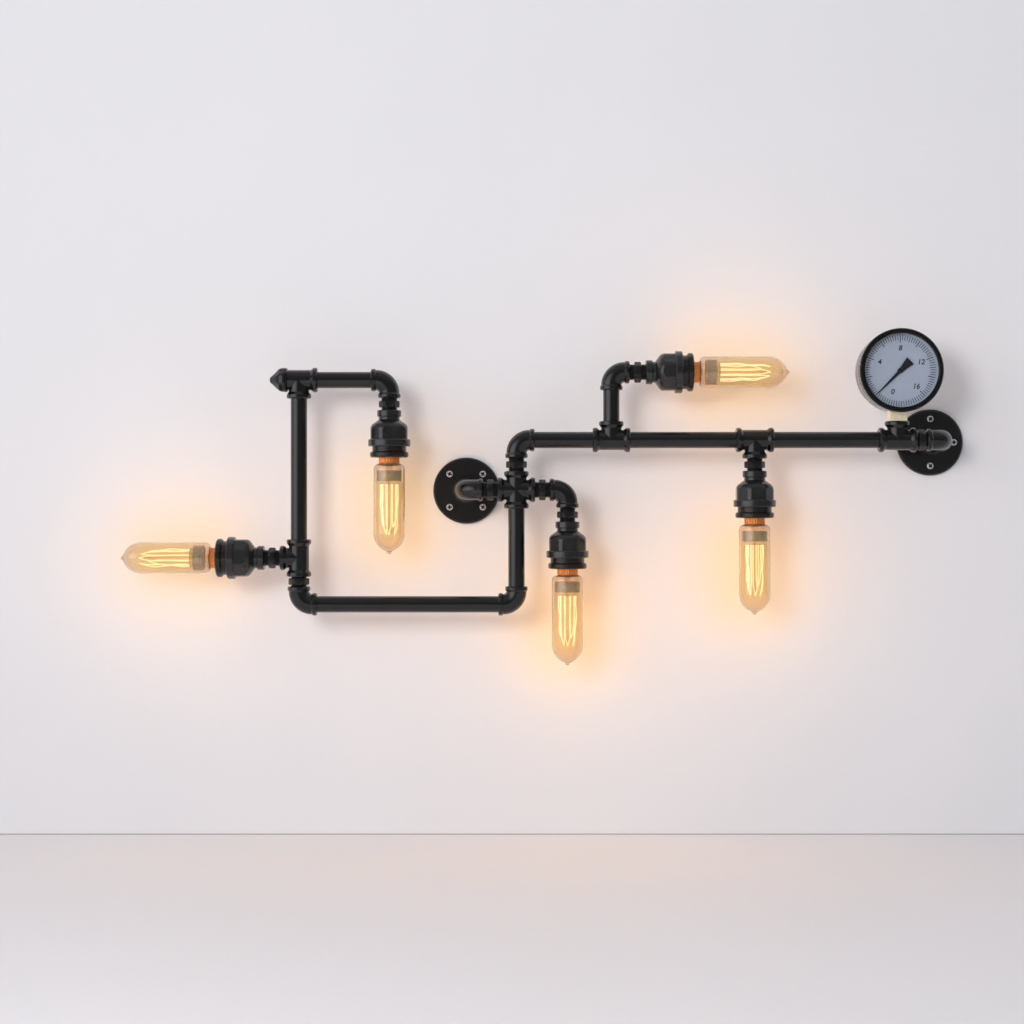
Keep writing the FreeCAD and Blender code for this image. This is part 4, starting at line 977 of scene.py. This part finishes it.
def make_lamp_mount(number, place):
    """What carries the filament: glass stem, metal collar, smoked sleeve, spacer, rod and hooks."""
    shape = Shape(place)
    glass, bare, film = range(3)
    flare = GLASS_NECK_RADIUS - STEM_FLARE_CLEARANCE
    stem_end = COLLAR_LOW - STEM_GAP
    shape.lathe([
        (flare, -GLASS_IN_CAP - STEM_RIM), (flare, -GLASS_IN_CAP + STEM_RIM),
        (flare * 0.66, -0.5 * STEM_RADIUS), (STEM_RADIUS * 1.25, STEM_RADIUS),
        (STEM_RADIUS, 2.5 * STEM_RADIUS), (STEM_RADIUS, stem_end), (0, stem_end),
    ], sides=40, kind=glass)
    half = [
        (0, 0), (COLLAR_RADIUS - COLLAR_LIP, 0), (COLLAR_RADIUS, COLLAR_LIP), (COLLAR_RADIUS, COLLAR_BAND),
        (COLLAR_RADIUS - COLLAR_GROOVE, COLLAR_BAND + COLLAR_LIP),
    ]
    lower_half = [(radius, COLLAR_LOW + inward) for radius, inward in half]
    upper_half = [(radius, COLLAR_HIGH - inward) for radius, inward in reversed(half)]
    shape.lathe(lower_half + upper_half, sides=64, kind=bare)
    ribbed = [
        (COLLAR_RADIUS - SLEEVE_HEM, COLLAR_LOW - 1.2 * SLEEVE_HEM),
        (SLEEVE_RADIUS - 0.4 * SLEEVE_HEM, COLLAR_LOW - SLEEVE_HEM),
    ]
    for height in SLEEVE_RIB_HEIGHTS:
        for inward, rise in ((1, -2), (0, -1), (0, 1), (1, 2)):
            ribbed.append((SLEEVE_RADIUS - inward * SLEEVE_RIB, COLLAR_LOW + height + rise * SLEEVE_RIB))
    ribbed.append((SLEEVE_RADIUS - 2 * SLEEVE_RIB, COLLAR_HIGH + 2 * SLEEVE_RIB))
    shape.lathe(ribbed, sides=64, kind=film)
    spacer = [(0, SPACER_LOW), (SPACER_RADIUS, SPACER_LOW), (SPACER_RADIUS, SPACER_HIGH), (0, SPACER_HIGH)]
    shape.lathe(spacer, sides=48, kind=glass)
    shape.lathe([
        (0, COLLAR_HIGH - ROD_ROOT), (ROD_RADIUS, COLLAR_HIGH - ROD_ROOT),
        (ROD_RADIUS, ROD_END - 2 * ROD_HEAD_HEIGHT), (ROD_HEAD_RADIUS, ROD_END - ROD_HEAD_HEIGHT),
        (ROD_HEAD_RADIUS, ROD_END), (0, ROD_END + ROD_RADIUS),
    ], sides=20, kind=glass)
    for angle, foot_height, tops in filament_loops():
        hook = [on_circle(ROD_RADIUS, angle, ROD_END - ROD_ROOT)]
        for share, rise in HOOK_BENDS:
            hook.append(on_circle(FILAMENT_FOOT_RADIUS * share, angle, foot_height + rise))
        shape.wire(hook, HOOK_RADIUS, sides=6, kind=bare)
        for top in tops:
            post = [on_circle(FILAMENT_TOP_RADIUS, top, height) for height in (COLLAR_HIGH, POST_HIGH)]
            shape.wire(post, HOOK_RADIUS, sides=6, kind=bare)
    return shape.piece("lamp_mount_%d" % number, "bulb_%d" % number, [stem_glass, mount_metal, sleeve_film],
                       "filament", ["bulb_filament_%d" % number])


def all_but(name, pieces):
    """A group for a light to shine on: everything except some pieces."""
    group = bpy.data.collections.new(name)
    for piece in pieces:
        group.objects.link(piece)
    for member in group.collection_objects:
        member.light_linking.link_state = "EXCLUDE"
    return group


def add_light(name, kind, power, colour):
    """A light that is neither seen nor mirrored itself."""
    light = bpy.data.lights.new(name, kind)
    light.energy = power
    light.color = colour
    holder = new_object(name, light)
    holder.visible_camera = False
    holder.visible_glossy = False
    holder.visible_transmission = False
    return holder


def make_lamp_lights(number, place, own_pieces):
    """Warm lights along a lamp's filament that shine on all but the lamp itself."""
    group = all_but("lit_by_lamp_%d" % number, own_pieces)
    for index, height in enumerate(LAMP_LIGHT_HEIGHTS):
        name = "lamp_light_%d_%d" % (number, index)
        holder = add_light(name, "POINT", LAMP_LIGHT_POWER, LAMP_LIGHT_COLOUR)
        holder.data.shadow_soft_size = LAMP_LIGHT_RADIUS
        holder.parent = frame["bodies"]["bulb_%d" % number]
        holder.location = place @ (UP * height)
        holder.light_linking.receiver_collection = group


def make_lamp(number):
    """A whole lamp round its CAD glass: cap, mount, filament and lights."""
    place = lamp_frame(number)
    pieces = [make_part(number, place) for make_part in (make_lamp_cap, make_lamp_mount, make_filament)]
    make_lamp_lights(number, place, pieces + [frame["nodes"]["bulb_glass_%d" % number]])


def shell_face(wall):
    """The inner face of a lampholder's threaded shell, moved out by a wall."""
    return lambda angle, height: SHELL_INNER_CREST + SHELL_THREAD_DEPTH * rolled_wave(angle, height) + wall


def make_lampholder_contacts():
    """The brass screw shells and centre contacts of all the lampholders."""
    shape = Shape()
    for number in LAMPS:
        shape.place = lamp_frame(number)
        inner = shape.threaded(SHELL_LOW, SHELL_HIGH, shell_face(0), sides=64, rows=48)
        outer = shape.threaded(SHELL_LOW, SHELL_HIGH, shell_face(SHELL_WALL), sides=64, rows=48)
        shape.bridge(inner[0], outer[0])
        shape.bridge(inner[-1], outer[-1])
        shape.lathe([(radius, SHELL_LOW + height) for radius, height in CONTACT_FORM], sides=32)
    shape.piece("lampholder_brass", "light", [finishes["contact"]], "contact", ["lampholder_contacts"])


# Nipples

def pipe_thread(hexagon_end):
    """A V-shaped pipe thread with flat crests, running out just before the hexagon."""
    def radius_at(angle, height):
        ridge = 1 - abs(2 * screw_phase(angle, height, PIPE_THREAD_PITCH) - 1)
        fade = ramp(abs(height - hexagon_end), 0.0, 0.5 * PIPE_THREAD_PITCH)
        return PIPE_THREAD_ROOT + PIPE_THREAD_DEPTH * min(1.0, PIPE_THREAD_FLAT * ridge) * fade
    return radius_at


def hexagon_radii(cut):
    """A hexagon's outline as radii, with its corners cut round."""
    radii = []
    for step in range(NIPPLE_SIDES):
        from_flat = (WHOLE_TURN * step / NIPPLE_SIDES + math.pi / 6) % (math.pi / 3) - math.pi / 6
        radii.append(min(HEX_FLATS / 2 / math.cos(from_flat), HEX_CORNERS / 2 - cut))
    return radii


def add_nipple(shape, start, direction, show):
    """One hexagon nipple between two mouths: its hexagon, a thread either side, and its bore."""
    shape.place = local_frame(start, direction)
    low = (show - HEX_WIDTH) / 2
    high = low + HEX_WIDTH
    cuts = ((low, HEX_CHAMFER), (low + HEX_CHAMFER, 0), (high - HEX_CHAMFER, 0), (high, HEX_CHAMFER))
    rings = [shape.hoop(hexagon_radii(cut), height) for height, cut in cuts]
    shape.skin(rings)
    mouths = []
    ends = ((rings[0], low, -PIPE_THREAD_HIDDEN), (rings[-1], high, show + PIPE_THREAD_HIDDEN))
    for face, end, hidden in ends:
        rows = max(ROWS_PER_TURN, int(abs(end - hidden) / PIPE_THREAD_PITCH * ROWS_PER_TURN))
        thread = shape.threaded(end, hidden, pipe_thread(end), NIPPLE_SIDES, rows)
        mouths.append(shape.hoop([PIPE_BORE_RADIUS] * NIPPLE_SIDES, hidden))
        shape.bridge(face, thread[0])
        shape.bridge(thread[-1], mouths[-1])
    shape.bridge(*mouths)


def between(first, second, direction, line):
    """Start, direction and length of a gap on a line, between two distances along a direction."""
    return line + direction * (first - line.dot(direction)), direction, second - first


def nipple_places():
    """Start, direction and length of each nipple: those of the frame, then one at each lamp."""
    cross = centre_of("cross")
    upright = centre_of("pipe_left_upright")
    long_pipe = centre_of("pipe_long_right")
    elbow_left = centre_of("flange_left").x + ELBOW_REACH
    elbow_right = centre_of("flange_right").x - ELBOW_REACH
    yield between(elbow_left, -reach_of("cross", -RIGHT), RIGHT, cross)
    yield between(reach_of("cross", UP), -reach_of("elbow_top_middle", -UP), UP, cross)
    yield between(reach_of("cross", RIGHT), -reach_of("elbow_lamp_3", -RIGHT), RIGHT, cross)
    yield between(reach_of("elbow_bottom_left", UP), -reach_of("tee_lamp_1", -UP), UP, upright)
    yield between(reach_of("tee_gauge", RIGHT), elbow_right, RIGHT, long_pipe)
    carriers = {1: "tee_lamp_1", 2: "elbow_lamp_2", 3: "elbow_lamp_3", 4: "elbow_lamp_4", 5: "tee_lamp_5"}
    for number, carrier in carriers.items():
        way = lamp_frame(number).to_3x3() @ UP
        reducer = "reducer_lamp_%d" % number
        yield between(reach_of(carrier, way), -reach_of(reducer, -way), way, centre_of(reducer))


def make_nipples():
    """All the hexagon nipples."""
    shape = Shape()
    for start, direction, show in nipple_places():
        add_nipple(shape, start, direction, show)
    shape.piece("threaded_nipples", "light", [finishes["hexagon"]], "hexagon", ["hex_nipples"], sharp=25.0)


# Wall screws

def screw_thread_radius(angle, height):
    """A wood screw's sharp, widely spaced thread."""
    ridge = max(0.0, 1 - SCREW_THREAD_STEEPNESS * abs(screw_phase(angle, height, SCREW_THREAD_PITCH) - 0.5))
    fade = ramp(height, 0.0, SCREW_THREAD_FADE)
    return SCREW_THREAD_ROOT + SCREW_THREAD_DEPTH * ridge * fade


def recess_outline():
    """The cross of a screw head's recess, seen from the front."""
    long = RECESS_HALF_LENGTH
    wide = RECESS_HALF_WIDTH
    corners = []
    for cosine, sine in ((1, 0), (0, 1), (-1, 0), (0, -1)):
        for x, y in ((long, -wide), (long, wide), (wide, wide)):
            corners.append((x * cosine - y * sine, x * sine + y * cosine))
    return corners


def add_screw(shape):
    """A round-headed screw with a cross recess, a plain neck and a thread that ends in a point."""
    edge = FLANGE_THICKNESS + SCREW_HEAD_EDGE
    top = FLANGE_THICKNESS + SCREW_HEAD_HEIGHT
    corner_width, corner_height = SCREW_HEAD_CORNER
    profile = [
        (SCREW_NECK_RADIUS, 0),
        (SCREW_NECK_RADIUS, FLANGE_THICKNESS),
        (SCREW_HEAD_RADIUS - corner_width, FLANGE_THICKNESS),
        (SCREW_HEAD_RADIUS, FLANGE_THICKNESS + corner_height),
    ]
    for step in range(SCREW_HEAD_STEPS + 1):
        bend = math.pi / 2 * step / SCREW_HEAD_STEPS
        radius = SCREW_HEAD_RADIUS + (SCREW_HEAD_TOP_RADIUS - SCREW_HEAD_RADIUS) * (1 - math.cos(bend))
        profile.append((radius, edge + (top - edge) * math.sin(bend)))
    shape.lathe(profile, SCREW_SIDES)
    outline = recess_outline()
    turn = WHOLE_TURN / SCREW_SIDES
    rim = [on_circle(SCREW_HEAD_TOP_RADIUS, turn * step).xy for step in range(SCREW_SIDES)]
    mouth = shape.flat_ring(rim, outline, top)[1]
    narrower, shorter = RECESS_TAPER
    floor = shape.flat([(x * narrower, y * shorter) for x, y in outline], top - RECESS_DEPTH)
    shape.bridge(mouth, floor, 1)
    shape.face(floor, 1)
    rows = int(-SCREW_THREAD_END / SCREW_THREAD_PITCH * ROWS_PER_TURN)
    thread = shape.threaded(0, SCREW_THREAD_END, screw_thread_radius, sides=24, rows=rows)
    shape.bridge(thread[-1], shape.ring([UP * SCREW_POINT]))


def make_wall_screws():
    """The screws of both flanges."""
    shape = Shape()
    chance = random.Random(20)
    for flange, first_angle in SCREW_ANGLES.items():
        middle = centre_of(flange)
        wall = local_frame(Vector((middle.x, 0, middle.z)), FRONT, RIGHT)
        for index in range(SCREW_COUNT):
            angle = math.radians(first_angle + 360 / SCREW_COUNT * index)
            hole = Matrix.Translation(on_circle(SCREW_CIRCLE_RADIUS, angle))
            shape.place = wall @ hole @ Matrix.Rotation(chance.uniform(0, WHOLE_TURN), 4, "Z")
            add_screw(shape)
    materials = [finishes["screw"], black_insulator]
    shape.piece("cross_head_screws", "light", materials, "screw", ["wall_screws"])


# Gauge

def dial_frame():
    """The dial's frame: origin in the middle of its face, +X to the right, +Z to the front."""
    middle = centre_of("gauge_bezel")
    middle.y = reach_of("gauge_dial", -FRONT) - DIAL_THICKNESS
    return local_frame(middle, FRONT, RIGHT)


def turned(place, degrees):
    """A frame turned anticlockwise about its own +Z."""
    return place @ Matrix.Rotation(math.radians(degrees), 4, "Z")


def make_ticks(place):
    """The fine lines all round the dial, long at the numbers and halfway, middling between those."""
    per_number = SCALE_DIVISIONS * SCALE_NUMBER_STEP // SCALE_TOP_NUMBER
    lines = []
    for index in range(SCALE_DIVISIONS + 1):
        degrees = SCALE_START - SCALE_SWEEP * index / SCALE_DIVISIONS
        if index % (per_number // 2) == 0:
            lines.append((degrees, TICK_INNER_LONG, TICK_WIDTH_LONG))
        elif index % (per_number // 4) == 0:
            lines.append((degrees, TICK_INNER_MIDDLE, TICK_WIDTH))
        else:
            lines.append((degrees, TICK_INNER, TICK_WIDTH))
    for index in range(1, LOWER_DIVISIONS):
        lines.append((SCALE_START + (360 - SCALE_SWEEP) * index / LOWER_DIVISIONS, TICK_INNER, TICK_WIDTH))
    shape = Shape()
    for degrees, inner, width in lines:
        shape.place = turned(place, degrees)
        half = width / 2
        outline = [(inner, -half), (TICK_OUTER, -half), (TICK_OUTER, half), (inner, half)]
        shape.prism(outline, 0, PRINT_HEIGHT)
    shape.piece("dial_ticks", "light", [ink], "gauge_needle")


def make_number(number, place):
    """One printed number on the dial."""
    degrees = SCALE_START - SCALE_SWEEP * number / SCALE_TOP_NUMBER if number else ZERO_NUMBER_ANGLE
    name = "dial_number_%d" % number
    letters = bpy.data.curves.new(name, "FONT")
    letters.body = str(number)
    letters.size = NUMBER_HEIGHT
    letters.shear = NUMBER_SLANT
    letters.align_x = "CENTER"
    letters.align_y = "CENTER"
    letters.extrude = PRINT_HEIGHT / 2
    letters.offset = NUMBER_BOLD
    drawn = new_object(name, letters)
    bpy.context.view_layer.update()
    mesh = bpy.data.meshes.new_from_object(drawn)
    bpy.data.objects.remove(drawn)
    middle = on_circle(NUMBER_RADIUS, math.radians(degrees), PRINT_HEIGHT / 2)
    mesh.transform(place @ Matrix.Translation(middle))
    mesh.materials.clear()
    mesh.materials.append(ink)
    shown = new_object(name, mesh)
    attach(shown, "light")


def make_hand(place):
    """The gauge's hand: a ridged point, a wedge-shaped tail, and a capped hub."""
    shape = Shape(turned(place, SCALE_START))
    face = place.translation.dot(FRONT)
    hub_top = reach_of("gauge_needle", FRONT) - face
    hub_low = -reach_of("gauge_needle", -FRONT) - face
    middle = (hub_top + hub_low) / 2
    low = middle - HAND_THICKNESS / 2
    edge = middle + HAND_THICKNESS / 2
    section = ((-0.5, low), (0.5, low), (0.5, edge), (0, edge + HAND_RIDGE), (-0.5, edge))
    blade = ((HAND_LENGTH, HAND_TIP_WIDTH), (0, HAND_ROOT_WIDTH))
    tail = ((0, HAND_TAIL_ROOT_WIDTH), (-HAND_TAIL, HAND_TAIL_WIDTH))
    for ends in (blade, tail):
        shape.skin([shape.ring([Vector((along, width * across, height)) for across, height in section])
                    for along, width in ends], closed=True)
    cap_top = hub_top + HAND_CAP_HEIGHT
    shape.place = place
    shape.lathe([
        (0, hub_low), (HAND_HUB_RADIUS, hub_low), (HAND_HUB_RADIUS, cap_top - 2 * HAND_CAP_HEIGHT),
        (HAND_HUB_RADIUS - HAND_CAP_HEIGHT, cap_top - HAND_CAP_HEIGHT / 2),
        (HAND_HUB_RADIUS / 2, cap_top), (0, cap_top),
    ], sides=48)
    shape.piece("gauge_hand", "needle", [finishes["gauge_needle"]], "gauge_needle", ["gauge_needle"])


# Stage, lights and camera

def stage_plane(name, first, last, material):
    """A flat part of the background between two edges, given as (y, z)."""
    side = WALL_WIDTH / 2
    mesh = bpy.data.meshes.new(name)
    mesh.from_pydata([(-side, *first), (side, *first), (side, *last), (-side, *last)], [], [(0, 1, 2, 3)])
    mesh.materials.append(material)
    new_object(name, mesh)


def make_stage():
    """Wall, floor, and the thin dark line between them."""
    corner = (WALL_BEHIND, FLOOR_LEVEL)
    foot = (WALL_BEHIND, FLOOR_LEVEL + SKIRTING_GAP)
    stage_plane("wall", foot, (WALL_BEHIND, FLOOR_LEVEL + WALL_HEIGHT), wall_paint())
    stage_plane("wall_foot", corner, foot, joint_shade())
    stage_plane("floor", (WALL_BEHIND - FLOOR_DEPTH, FLOOR_LEVEL), corner, floor_paint())


def make_world():
    """Light from the room, brighter from the window, from above and from behind the wall."""
    world = bpy.data.worlds.new("studio")
    nodes = Nodes(world)
    way = nodes.add("TexCoord").outputs["Generated"]
    split = nodes.add("SeparateXYZ", {0: way})
    near = nodes.vectors("DOT_PRODUCT", way, Vector(WINDOW_WAY).normalized(), output="Value")
    window = nodes.remap(near, WINDOW_EDGE, WINDOW_MIDDLE, 0.0, WINDOW_LEVEL,
                         interpolation_type="SMOOTHSTEP")
    room = nodes.remap(split.outputs["Y"], 0.0, ROOM_BEHIND_EDGE, ROOM_LEVEL, ROOM_LEVEL_BEHIND)
    ceiling = nodes.remap(split.outputs["Z"], CEILING_EDGE, CEILING_MIDDLE, 0.0, CEILING_LEVEL)
    level = nodes.maths("ADD", nodes.maths("ADD", room, window), ceiling)
    seen = nodes.add("LightPath").outputs["Is Camera Ray"]
    level = nodes.add("Mix", {0: seen, 2: level, 3: BACKDROP_LEVEL}, data_type="FLOAT").outputs[0]
    background = nodes.tree.nodes["Background"]
    nodes.put(background.inputs["Color"], ROOM_COLOUR)
    nodes.put(background.inputs["Strength"], level)
    bpy.context.scene.world = world


def soft_lamp(name, place, size, power, colour):
    """A soft square lamp that shines at the middle of the light."""
    holder = add_light(name, "AREA", power, colour)
    holder.data.shape = "SQUARE"
    holder.data.size = size
    aim = (cad_low + cad_high) / 2 - Vector(place)
    holder.location = place
    holder.rotation_euler = aim.to_track_quat("-Z", "Y").to_euler()


def make_camera():
    """The camera at the photograph's place, looking straight at the wall."""
    data = bpy.data.cameras.new("camera")
    data.lens = CAMERA_LENS
    data.sensor_width = CAMERA_SENSOR
    camera = new_object("camera", data)
    camera.location = CAMERA_PLACE
    camera.rotation_euler = (math.pi / 2, 0, 0)
    bpy.context.scene.camera = camera


def finish_cad_nodes():
    """Give every CAD node the finish of its material slot."""
    for part in frame["record"]["subparts"]:
        for slot in frame["nodes"][part["node"]].material_slots:
            slot.link = "OBJECT"
            slot.material = finishes[part["material_slot"]]


make_camera()
make_world()
soft_lamp("key", KEY_PLACE, KEY_SIZE, KEY_POWER, KEY_COLOUR)
soft_lamp("fill", FILL_PLACE, FILL_SIZE, FILL_POWER, FILL_COLOUR)
make_stage()
finish_cad_nodes()
for lamp_number in LAMPS:
    make_lamp(lamp_number)
make_lampholder_contacts()
make_nipples()
make_wall_screws()
dial_place = dial_frame()
make_hand(dial_place)
make_ticks(dial_place)
for dial_number in range(0, SCALE_TOP_NUMBER + 1, SCALE_NUMBER_STEP):
    make_number(dial_number, dial_place)

bpy.context.scene.view_settings.view_transform = "Standard"
